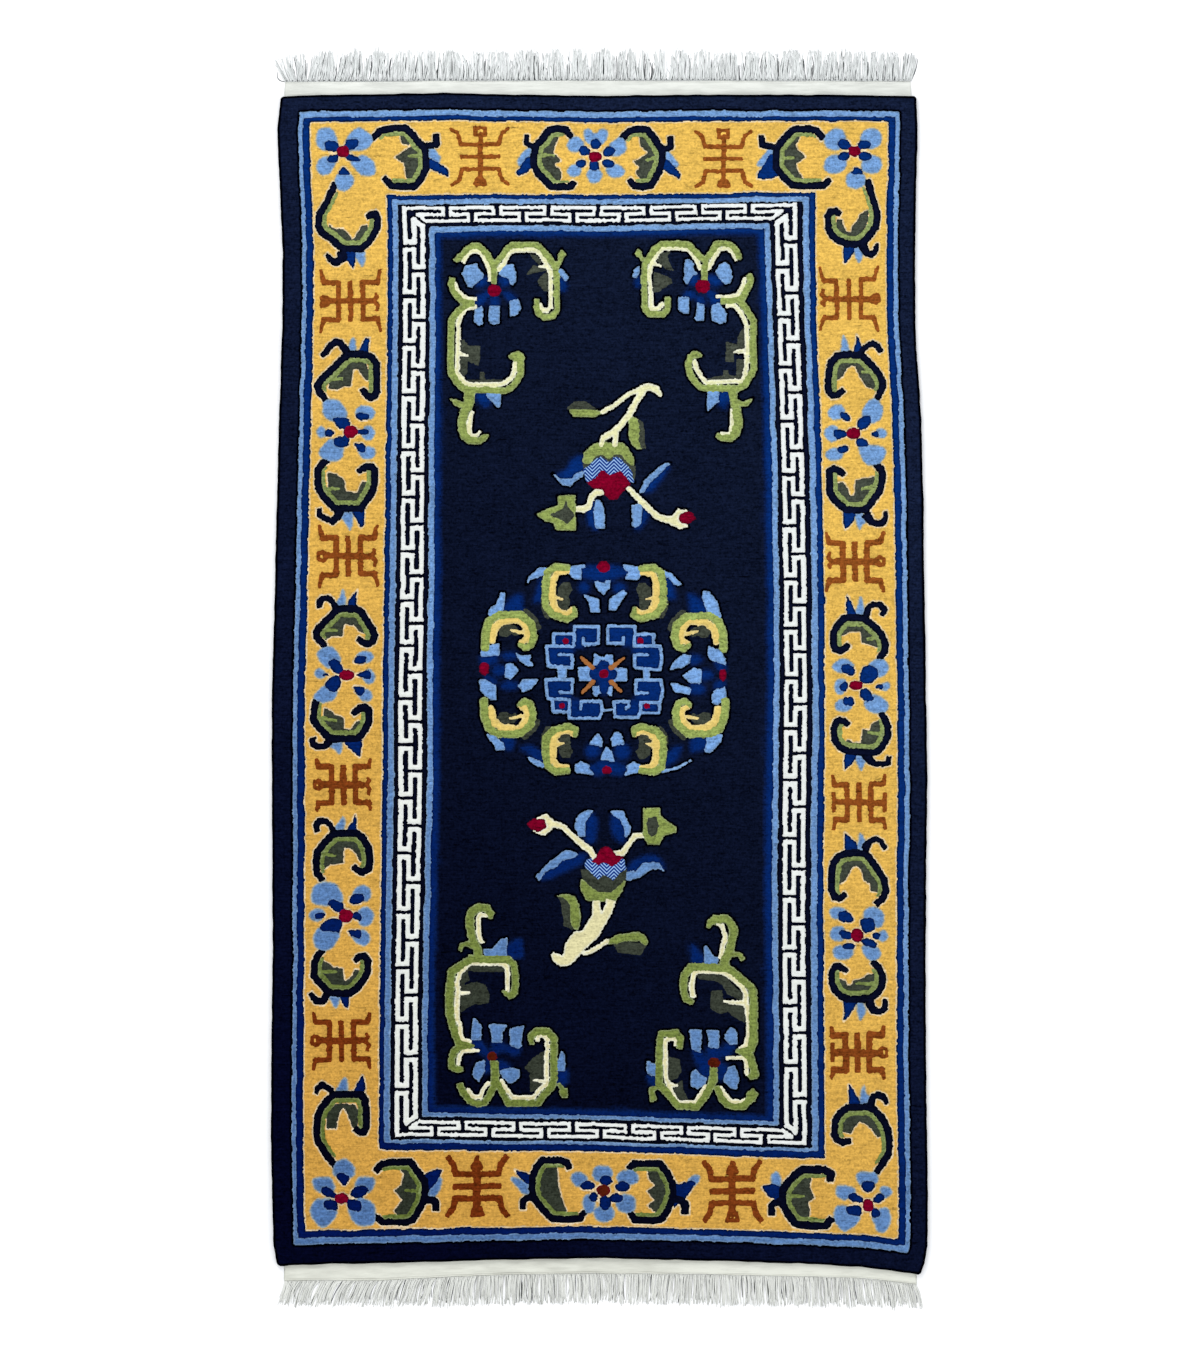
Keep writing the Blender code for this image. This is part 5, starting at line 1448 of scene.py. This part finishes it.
def greyColour(tree, value):
    if isinstance(value, float):
        return (value, value, value, 1.0)
    made = node(tree, "ShaderNodeCombineColor")
    for i in range(3):
        tree.links.new(value, made.inputs[i])
    return made.outputs[0]


def stretched(tree, vector, scale):
    made = node(tree, "ShaderNodeVectorMath", operation="MULTIPLY")
    tree.links.new(vector, made.inputs[0])
    made.inputs[1].default_value = scale
    return made.outputs[0]


def noise(tree, vector, scale, detail=2.0, roughness=0.6):
    made = node(tree, "ShaderNodeTexNoise", in_Scale=scale, in_Detail=detail, in_Roughness=roughness)
    tree.links.new(vector, made.inputs["Vector"])
    return made.outputs["Fac"]


# display colours of each yarn at the upper right, at the lower left and beside a carved edge, the last being a
# painted rim colour (painted shade for the dark yarns, painted highlight for the pale ones); mottle, which is how
# much its knots differ in depth; and the ramp of the painted rim colour over the rim attribute with its strength
yarnTones = dict(
    navy=((20, 29, 53), (4, 6, 29), (0, 0, 3), 1.1, (0.02, 0.3, 1.0)),
    light=((117, 158, 209), (81, 115, 164), (140, 168, 198), 0.7, (0.2, 0.95, 0.75)),
    royal=((8, 46, 114), (3, 21, 80), (1, 7, 38), 0.62, (0.15, 0.9, 0.95)),
    gold=((232, 187, 88), (208, 157, 71), (247, 234, 204), 0.56, (0.28, 0.95, 0.8)),
    black=((12, 17, 40), (5, 6, 22), (3, 4, 10), 0.8, (0.1, 0.8, 0.9)),
    white=((242, 247, 243), (236, 238, 226), (246, 248, 246), 0.16, (0.2, 0.9, 0.9)),
    rust=((144, 79, 32), (108, 44, 14), (112, 52, 22), 0.85, (0.1, 0.9, 0.5)),
    leaf=((140, 156, 92), (100, 114, 52), (166, 180, 132), 0.85, (0.3, 0.9, 0.7)),
    green=((146, 162, 89), (100, 114, 48), (172, 184, 142), 0.8, (0.3, 0.9, 0.75)),
    olive=((68, 73, 63), (47, 52, 42), (58, 60, 54), 0.95, (0.2, 0.9, 0.8)),
    cream=((235, 234, 182), (222, 209, 158), (246, 246, 224), 0.4, (0.15, 0.8, 0.85)),
    red=((122, 4, 36), (80, 25, 10), (92, 4, 24), 0.75, (0.1, 0.8, 0.9)),
    yellow=((236, 206, 118), (226, 198, 110), (244, 226, 164), 0.4, (0.3, 1.0, 0.7)),
    orange=((172, 112, 62), (156, 96, 50), (176, 126, 84), 0.3, (0.3, 1.0, 0.6)),
    twill=((100, 146, 206), (88, 132, 196), (100, 140, 200), 0.2, (0.3, 1.0, 0.6)),
)
lightGain = 0.785


def raiseBy(tree, shader, height, strength, distance):
    # the height goes through a bump node to the shader's normal
    bump = node(tree, "ShaderNodeBump", in_Strength=strength, in_Distance=distance)
    tree.links.new(height, bump.inputs["Height"])
    tree.links.new(bump.outputs[0], shader.inputs["Normal"])


def twillColour(tree, where):
    # herringbone: stripes along x folded + y, the fold every 13.5 mm and the stripe every 6.8 mm
    split = node(tree, "ShaderNodeSeparateXYZ")
    tree.links.new(where, split.inputs[0])
    fold = mathNode(tree, "PINGPONG", split.outputs["X"], 0.0135)
    stripe = mathNode(tree, "PINGPONG", mathNode(tree, "ADD", fold, split.outputs["Y"]), 0.0034)
    share = ramp(tree, stripe, 0.0017, 0.0025)
    return mixColour(tree, share, tone(8, 48, 132, lightGain), tone(160, 198, 240, lightGain))


def woolMaterial(name, top, low, edge, mottle, paintedRimRamp):
    made = bpy.data.materials.new("Wool_" + name)
    made.use_nodes = True
    tree = made.node_tree
    shader = tree.nodes["Principled BSDF"]
    where = node(tree, "ShaderNodeTexCoord").outputs["Object"]
    split = node(tree, "ShaderNodeSeparateXYZ")
    tree.links.new(where, split.inputs[0])
    x = split.outputs["X"]
    y = split.outputs["Y"]
    fromMiddle = mathNode(tree, "ABSOLUTE", x, 0.0)
    # every yarn's colour darkens from the upper right to the lower left; red turns brown below the lower peony,
    # except at the sides
    share = ramp(tree, plus(tree, y, x, 0.9), -1.3, 0.9 if name == "navy" else 0.7)
    if name == "red":
        share = mathNode(tree, "MAXIMUM", ramp(tree, y, -0.66, -0.56), ramp(tree, fromMiddle, 0.3, 0.36))
    colour = mixColour(tree, share, tone(*low, lightGain), tone(*top, lightGain))
    if name == "twill":
        colour = twillColour(tree, where)
    # the field's navy is deeper than the edge's, and the medallion's light and green yarns are paler than the
    # others: ramp along the rug, strength and grey to multiply by
    if name in ("navy", "light", "leaf", "green"):
        fade, strength, grey = ((0.86, 0.82), 0.8, 0.66) if name == "navy" else ((0.34, 0.24), 1.0, 1.24)
        fromCentre = ramp(tree, mathNode(tree, "ABSOLUTE", y, 0.0), *fade)
        inside = mathNode(tree, "MULTIPLY", ramp(tree, fromMiddle, 0.34, 0.3), fromCentre)
        inside = mathNode(tree, "MULTIPLY", inside, strength)
        colour = mixColour(tree, inside, colour, greyColour(tree, grey), "MULTIPLY")
    # value = 1 + slow blotches + rows drawn out across the rug + knots + fibres, each centred on nought
    blotch = noise(tree, stretched(tree, where, (0.5, 1.0, 1.0)), 16.0, 3.0)
    rowNoise = noise(tree, stretched(tree, where, (0.15, 1.0, 1.0)), 250.0, 2.0, 0.8)
    speck = noise(tree, where, 170.0, 2.0, 0.8)
    knots = node(tree, "ShaderNodeTexVoronoi", in_Scale=310.0, in_Randomness=0.7)
    tree.links.new(where, knots.inputs["Vector"])
    knotShade = node(tree, "ShaderNodeSeparateColor")
    tree.links.new(knots.outputs["Color"], knotShade.inputs[0])
    # painted shade: thin dark clefts between rows, where the pile parts, also pressed into the bump
    cleftShade = ramp(tree, noise(tree, stretched(tree, where, (0.16, 1.0, 1.0)), 175.0, 3.0, 0.75), 0.63, 0.72)
    value = 1.0 - mottle * (0.25 + 0.85 + 0.65 + 0.3)
    amounts = ((blotch, 0.5), (rowNoise, 1.7), (speck, 1.3), (knotShade.outputs[0], 0.6), (cleftShade, -0.8))
    for source, amount in amounts:
        value = plus(tree, value, source, amount * mottle)
    value = mathNode(tree, "MAXIMUM", value, 0.2)
    # painted shade and highlight: the yarn's rim colour mixed in over the rim attribute
    rim = node(tree, "ShaderNodeAttribute", attribute_name="rim")
    rimPaintShare = mathNode(tree, "MULTIPLY", ramp(tree, rim.outputs["Fac"], paintedRimRamp[0], paintedRimRamp[1]), paintedRimRamp[2])
    colour = mixColour(tree, rimPaintShare, colour, tone(*edge, lightGain))
    if name in partners:
        haze = node(tree, "ShaderNodeAttribute", attribute_name="haze").outputs["Fac"]
        haze = mathNode(tree, "MULTIPLY", haze, 0.85)
        colour = mixColour(tree, haze, colour, tone(*partners[name][2], lightGain))
    colour = mixColour(tree, 1.0, colour, greyColour(tree, value), "MULTIPLY")
    tree.links.new(colour, shader.inputs["Base Color"])
    shader.inputs["Roughness"].default_value = 1.0
    shader.inputs["Specular IOR Level"].default_value = 0.0
    height = plus(tree, mathNode(tree, "MULTIPLY", speck, 0.6), rowNoise, 0.6)
    raiseBy(tree, shader, plus(tree, height, cleftShade, -0.3), 0.6, 0.0016)
    return made


def cottonMaterial(name, light, dark, grain):
    # share of the dark tone = shade + streaks and patches about nought, the streaks drawn out along the yarns
    made = bpy.data.materials.new("Cotton_" + name)
    made.use_nodes = True
    tree = made.node_tree
    shader = tree.nodes["Principled BSDF"]
    where = node(tree, "ShaderNodeTexCoord").outputs["Object"]
    shade = node(tree, "ShaderNodeAttribute", attribute_name="shade").outputs["Fac"]
    streak = noise(tree, stretched(tree, where, grain), 1.0, 2.0, 0.7)
    patchy = noise(tree, where, 9.0, 2.0)
    amount = mathNode(tree, "SUBTRACT", shade, (0.35 + 0.12) / 2)
    amount = plus(tree, plus(tree, amount, streak, 0.35), patchy, 0.12)
    colour = mixColour(tree, ramp(tree, amount, 0.0, 1.0), tone(*light, lightGain), tone(*dark, lightGain))
    tree.links.new(colour, shader.inputs["Base Color"])
    shader.inputs["Roughness"].default_value = 0.95
    shader.inputs["Specular IOR Level"].default_value = 0.05
    raiseBy(tree, shader, streak, 0.5, 0.0006)
    return made


for number, name in enumerate(yarns):
    piece = yarnPiece(number)
    piece.data.materials.append(woolMaterial(name, *yarnTones[name]))
    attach(piece, "root")
print("scene: pile pieces")


# Foundation: the woven ground that the knots stand on, closed all round
slab = dict(step=8, inset=1.6, halfWidth=606, halfLength=1095, lid=7.4)


def makeFoundation(s):
    # the outline's grid thinned to every eighth line, drawn in by the inset, with a lid under the carving
    rr = np.arange(0, rows, s["step"])
    cc = np.arange(0, columns, s["step"])
    x = gridX[np.ix_(rr, cc)] * (1 - s["inset"] / s["halfWidth"])
    y = gridY[np.ix_(rr, cc)] * (1 - s["inset"] / s["halfLength"])
    n, m = x.shape
    under = np.stack([x.ravel(), y.ravel(), np.zeros(x.size)], axis=1)
    points = np.concatenate([under, under + [0, 0, s["lid"]]]) * metre
    a = (np.arange(n - 1)[:, None] * m + np.arange(m - 1)).ravel()
    low = np.stack([a, a + m, a + m + 1, a + 1], axis=1)
    high = low[:, ::-1] + x.size
    ring = ringOrder(n, m)
    wall = wallQuads(ring, ring + x.size)
    quads = np.concatenate([low, high, wall])
    return meshPiece("Foundation", points, quads.ravel(), np.full(len(quads), 4), smooth=False)


base = makeFoundation(slab)
base.data.materials.append(woolMaterial("back", (26, 34, 58), (14, 18, 40), (20, 24, 40), 0.4, (0, 1, 0)))

# Headers and fringes. Tables of x and value: seam, where the header ends and the fringe begins, reach and lean of
# the yarns, and how dark the header is along its length. Each bunch has so many yarns over and under, and groups
# of bunches draw together. The under yarns are painted shade between the over yarns, a share of them, the slits,
# near-black as painted shadow, and short is the least reach of an under yarn.
ends = dict(
    top=dict(
        end=1, edge=4, left=-590.5, right=584.0, header="header_top", fringe="fringe_top", seed=41,
        seam=[(-590.5, 1119.6), (-300, 1121.5), (0, 1122.4), (584, 1121.0)],
        reach=[(-600, 44), (-570, 54), (-540, 58), (-200, 56), (0, 57), (300, 56), (560, 57), (600, 50)],
        lean=[(-592, -34), (-578, -16), (-550, 8), (-480, 6), (-300, 0), (300, 0), (560, 4), (584, 15)],
        headerDarkness=[(-590, 0.14), (-480, 0.08), (584, 0.08)], seamShade=0.4,
        pitch=10.4, over=6, under=5, half=0.84, sway=4.5, draw=0.34, groups=(2, 6), shadowSlits=0.5, cross=3.0,
        short=0.4, gapShadow=dict(length=3.2, half=1.3, depth=1.0),
    ),
    low=dict(
        end=-1, edge=1, left=-590.5, right=593.5, header="header_bottom", fringe="fringe_bottom", seed=43,
        seam=[(-590.5, -1126.6), (-411, -1126), (-306, -1120.9), (-168, -1114.8), (1, -1113.4),
              (170, -1114.5), (292, -1116.9), (470, -1120.6), (545, -1127.4), (593.5, -1133.4)],
        reach=[(-600, 44), (-560, 48), (-300, 54), (-100, 55), (0, 54), (200, 56), (400, 54), (540, 51),
               (600, 45)],
        lean=[(-592, -16), (-480, -22), (-330, -14), (-200, -2), (0, 3), (120, -6), (220, 2), (450, 3),
              (560, 12), (594, 14)],
        headerDarkness=[(-590, 0.14), (-280, 0.1), (0, 0.16), (150, 0.1), (290, 0.02), (594, 0.02)], seamShade=1.0,
        pitch=8.4, over=5, under=4, half=0.86, sway=3.0, draw=0.06, groups=(2, 7), shadowSlits=0.24, cross=1.7,
        short=0.75, gapShadow=dict(length=2.4, half=0.6, depth=0.4),
    ),
)


def along(table, x):
    xs, ys = zip(*table)
    return np.interp(x, xs, ys)


def shadePiece(piece, shade):
    made = piece.data.attributes.new("shade", "FLOAT", "POINT")
    made.data.foreach_set("value", np.ascontiguousarray(shade, np.float32))


def makeHeader(e):
    # a flat-woven strip: rows of points from under the pile's edge to the seam, on a closed slab 2 mm thick
    count = 392
    shares = np.array([0.0, 0.05, 0.12, 0.24, 0.38, 0.52, 0.66, 0.78, 0.86, 0.9, 0.94, 1.0])
    x, t = np.meshgrid(np.linspace(e["left"], e["right"], count), shares)
    sideways = smoothNoise(t * 40, x * 0 + 3, 14, e["seed"]) * 1.4 * (np.abs(x) / 590) ** 8 * np.sign(x)
    start = endAt(x, e["edge"]) - e["end"] * 1.6
    stop = along(e["seam"], x) + smoothNoise(x, x * 0, 24, e["seed"] + 1) * 0.8
    y = start + (stop - start) * t
    z = 2.0 + smoothNoise(x, y * 4, 26, e["seed"] + 2) * 0.25 - 0.5 * (t > 0.88) * (t < 0.95) - 0.5 * (t == 1)
    top = np.stack([x + sideways, y, z], axis=2).reshape(-1, 3)
    n = len(shares)
    feet = top.reshape(n, count, 3)[[0, -1]].copy()
    feet[:, :, 2] = 0.1
    points = np.concatenate([top, feet.reshape(-1, 3)]) * metre
    a = (np.arange(n - 1)[:, None] * count + np.arange(count - 1)).ravel()
    faces = [np.stack([a, a + 1, a + count + 1, a + count], axis=1)]
    k = np.arange(count - 1)
    foot = n * count
    # the wall by the pile, the wall at the seam and the underside
    for low, high in ((foot, 0), (foot - count, foot + count), (foot + count, foot)):
        faces.append(np.stack([low + k, low + k + 1, high + k + 1, high + k], axis=1))
    quads = np.concatenate(faces)
    if e["end"] < 0:
        quads = quads[:, ::-1]
    loops = [quads.ravel()]
    counts = [np.full(len(quads), 4)]
    for column in (0, count - 1):
        side = np.concatenate([np.arange(n) * count + column, [foot + count + column, foot + column]])
        flip = (column == 0) == (e["end"] > 0)
        loops.append(side if not flip else side[::-1])
        counts.append([len(side)])
    piece = meshPiece("Header_" + e["header"], points, np.concatenate(loops), np.concatenate(counts))
    # shade: darker stretches along the header, weft lines drawn out along x, a paler edge by the pile and a fine
    # dark seam
    weft = smoothNoise(x * 0.06, y, 2.2, e["seed"] + 3) * 0.12
    weft = weft + smoothNoise(x * 0.2, y, 5, e["seed"] + 4) * 0.08
    seamLine = 0.5 * (t == 0.9) * (0.6 + 0.4 * smoothNoise(x, x * 0, 60, e["seed"] + 5)) * e["seamShade"]
    shade = along(e["headerDarkness"], x) + weft + seamLine - 0.06 * (t < 0.1)
    shadePiece(piece, np.concatenate([shade.ravel(), np.full(2 * count, 0.3)]))
    return piece


def strandMesh(root, tip, bow, half, lift, shadeRoot, shadeTip, rings=7):
    # centre line = root + (tip - root) * t + bow * sin(pi * t) sideways; four-sided, thinner towards the tip
    t = np.linspace(0, 1, rings)
    n = len(root)
    values = (bow, half, lift, shadeRoot, shadeTip)
    bow, half, lift, shadeRoot, shadeTip = (np.broadcast_to(value, n)[:, None] for value in values)
    way = tip - root
    size = np.maximum(np.hypot(way[:, 0], way[:, 1]), 1e-6)
    side = np.stack([way[:, 1], -way[:, 0]], axis=1) / size[:, None]
    middle = root[:, None] + way[:, None] * t[:, None] + side[:, None] * (bow * np.sin(np.pi * t))[:, :, None]
    width = half * (1 - 0.45 * t ** 3)
    high = np.maximum(lift * (1 - t) ** 1.5, 0) + width * 0.9
    corners = []
    for across, up in ((-1, 0), (0, 0.75), (1, 0), (0, -0.75)):
        xy = middle + side[:, None] * (width * across)[:, :, None]
        corners.append(np.concatenate([xy, (high + up * width)[:, :, None]], axis=2))
    points = np.stack(corners, axis=2)
    first = (np.arange(n)[:, None] * rings + np.arange(rings - 1)).ravel() * 4
    quads = []
    for k in range(4):
        j = (k + 1) % 4
        quads.append(np.stack([first + k, first + j, first + 4 + j, first + 4 + k], axis=1))
    starts = np.arange(n) * rings * 4
    stops = starts + (rings - 1) * 4
    quads.append(np.stack([starts + 3, starts + 2, starts + 1, starts], axis=1))
    quads.append(np.stack([stops, stops + 1, stops + 2, stops + 3], axis=1))
    shade = shadeRoot + (shadeTip - shadeRoot) * t
    return points.reshape(-1, 3), np.concatenate(quads), np.repeat(shade.ravel(), 4)


def makeFringe(e):
    # bunches of yarns stand side by side; neighbouring bunches draw together towards a shared tip
    rng = np.random.default_rng(e["seed"])
    bunch = np.arange(e["left"] + e["pitch"] / 2, e["right"] - 2, e["pitch"])
    count = len(bunch)
    group = np.repeat(np.arange(count), rng.integers(*e["groups"], count))[:count]
    meet = np.zeros(count)
    for g in np.unique(group):
        mine = group == g
        meet[mine] = bunch[mine].mean() + rng.normal(0, e["sway"])
    meet = meet + along(e["lean"], bunch) * rng.uniform(0.7, 1.2, count)
    longer = rng.normal(0, 2.2, count)
    bend = rng.normal(0, 1.6, count) + along(e["lean"], bunch) * 0.12
    parts = []
    for layer in ("under", "over"):
        over = layer == "over"
        each = e[layer]
        spread = (np.arange(each) + 0.5) / each - 0.5
        x = (bunch[:, None] + spread * e["pitch"] * (0.86 if over else 1.0)).ravel()
        x = x + rng.normal(0, 0.35, x.size)
        k = np.repeat(np.arange(count), each)
        root = np.stack([x, along(e["seam"], x) + e["end"] * 0.8], axis=1)
        drawn = e["draw"] * rng.uniform(0.75, 1.15, x.size) * (1.0 if over else 0.2)
        tipX = (x + along(e["lean"], x)) * (1 - drawn) + meet[k] * drawn + rng.normal(0, e["cross"], x.size)
        reach = along(e["reach"], x) + longer[k] + rng.normal(0, 1.6, x.size)
        reach = reach - np.minimum(5.0 * (np.abs(x - meet[k]) / 14) ** 2 * e["draw"], 5.0)
        if not over:
            reach = reach * rng.uniform(e["short"], 0.97, x.size)
        # tip = as far sideways as the reach lets it, and sqrt(reach^2 - sideways^2) away from the seam
        tipX = x + (tipX - x) * np.minimum(reach / 52, 1)
        drop = np.sqrt(np.maximum(reach ** 2 - (tipX - x) ** 2, 100))
        tip = np.stack([tipX, np.clip(np.abs(root[:, 1]) + drop, 0, 1187) * e["end"]], axis=1)
        bow = (bend[k] + rng.normal(0, 0.6 * e["cross"], x.size)) * e["end"]
        if over:
            shadeRoot = np.clip(rng.normal(0.02, 0.14, x.size), 0, 0.5)
            shadeTip = shadeRoot + rng.uniform(0.0, 0.08, x.size)
            parts.append(strandMesh(root, tip, bow, e["half"], 1.0, shadeRoot, shadeTip))
        else:
            # painted shade between the over yarns: the under yarns grey, a share of them near-black as painted
            # shadow slits
            dark = rng.random(x.size) < e["shadowSlits"]
            shadeRoot = np.where(dark, 1.1, rng.uniform(0.15, 0.6, x.size))
            shadeTip = np.where(dark, 1.0, rng.uniform(0.1, 0.5, x.size))
            parts.append(strandMesh(root, tip, bow, e["half"] * 0.85, 0.1, shadeRoot, shadeTip))
    # painted shadow in the stitch holes: dark spots between bunches at the seam, and the narrow strip at the
    # roots
    gapShadow = e["gapShadow"]
    shadowSpots = np.arange(e["left"] + 5, e["right"] - 4, e["pitch"] * 0.95)
    shadowSpots = shadowSpots + rng.normal(0, 0.3, shadowSpots.size)
    start = np.stack([shadowSpots, along(e["seam"], shadowSpots) + e["end"] * 2.0], axis=1)
    stop = start.copy()
    stop[:, 0] += rng.normal(0, 0.3, shadowSpots.size)
    stop[:, 1] += e["end"] * gapShadow["length"]
    depth = rng.uniform(0.75, 1.15, shadowSpots.size) * gapShadow["depth"]
    parts.append(strandMesh(start, stop, 0, gapShadow["half"], 1.6, depth, depth * 0.7, rings=3))
    stripX = np.linspace(e["left"], e["right"] - 6, 160)
    begin = np.stack([stripX, along(e["seam"], stripX) + e["end"] * 1.2], axis=1)
    finish = begin + [stripX[1] - stripX[0] + 0.5, 0]
    finish[:, 1] = along(e["seam"], finish[:, 0]) + e["end"] * 1.2
    parts.append(strandMesh(begin, finish, 0, 1.15, 0, 0.12, 0.12, rings=2))
    offset = 0
    points, quads, shades = [], [], []
    for p, q, s in parts:
        points.append(p)
        quads.append(q + offset)
        shades.append(s)
        offset += len(p)
    points = np.concatenate(points)
    points[:, 2] = np.maximum(points[:, 2], 0.05)
    quads = np.concatenate(quads)
    if e["end"] < 0:
        quads = quads[:, ::-1]
    piece = meshPiece("Fringe_" + e["fringe"], points * metre, quads.ravel(), np.full(len(quads), 4))
    shadePiece(piece, np.concatenate(shades))
    print("scene:", e["fringe"], "quads", len(quads))
    return piece


# the fringes' dark tones colour their painted shade: the under yarns and the dark spots at the roots
cotton = dict(
    header_top=dict(light=(245, 247, 239), dark=(120, 122, 114), grain=(60.0, 700.0, 700.0)),
    header_bottom=dict(light=(244, 245, 232), dark=(124, 122, 110), grain=(60.0, 700.0, 700.0)),
    fringe_top=dict(light=(252, 255, 253), dark=(60, 66, 66), grain=(900.0, 120.0, 900.0)),
    fringe_bottom=dict(light=(254, 255, 248), dark=(58, 62, 60), grain=(900.0, 120.0, 900.0)),
)
for e in ends.values():
    for kind, piece in (("header", makeHeader(e)), ("fringe", makeFringe(e))):
        piece.data.materials.append(cottonMaterial(e[kind], **cotton[e[kind]]))
        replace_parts(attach(piece, "root"), e[kind])

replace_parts(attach(base, "root"), "pile")
print("scene: foundation, headers and fringes")
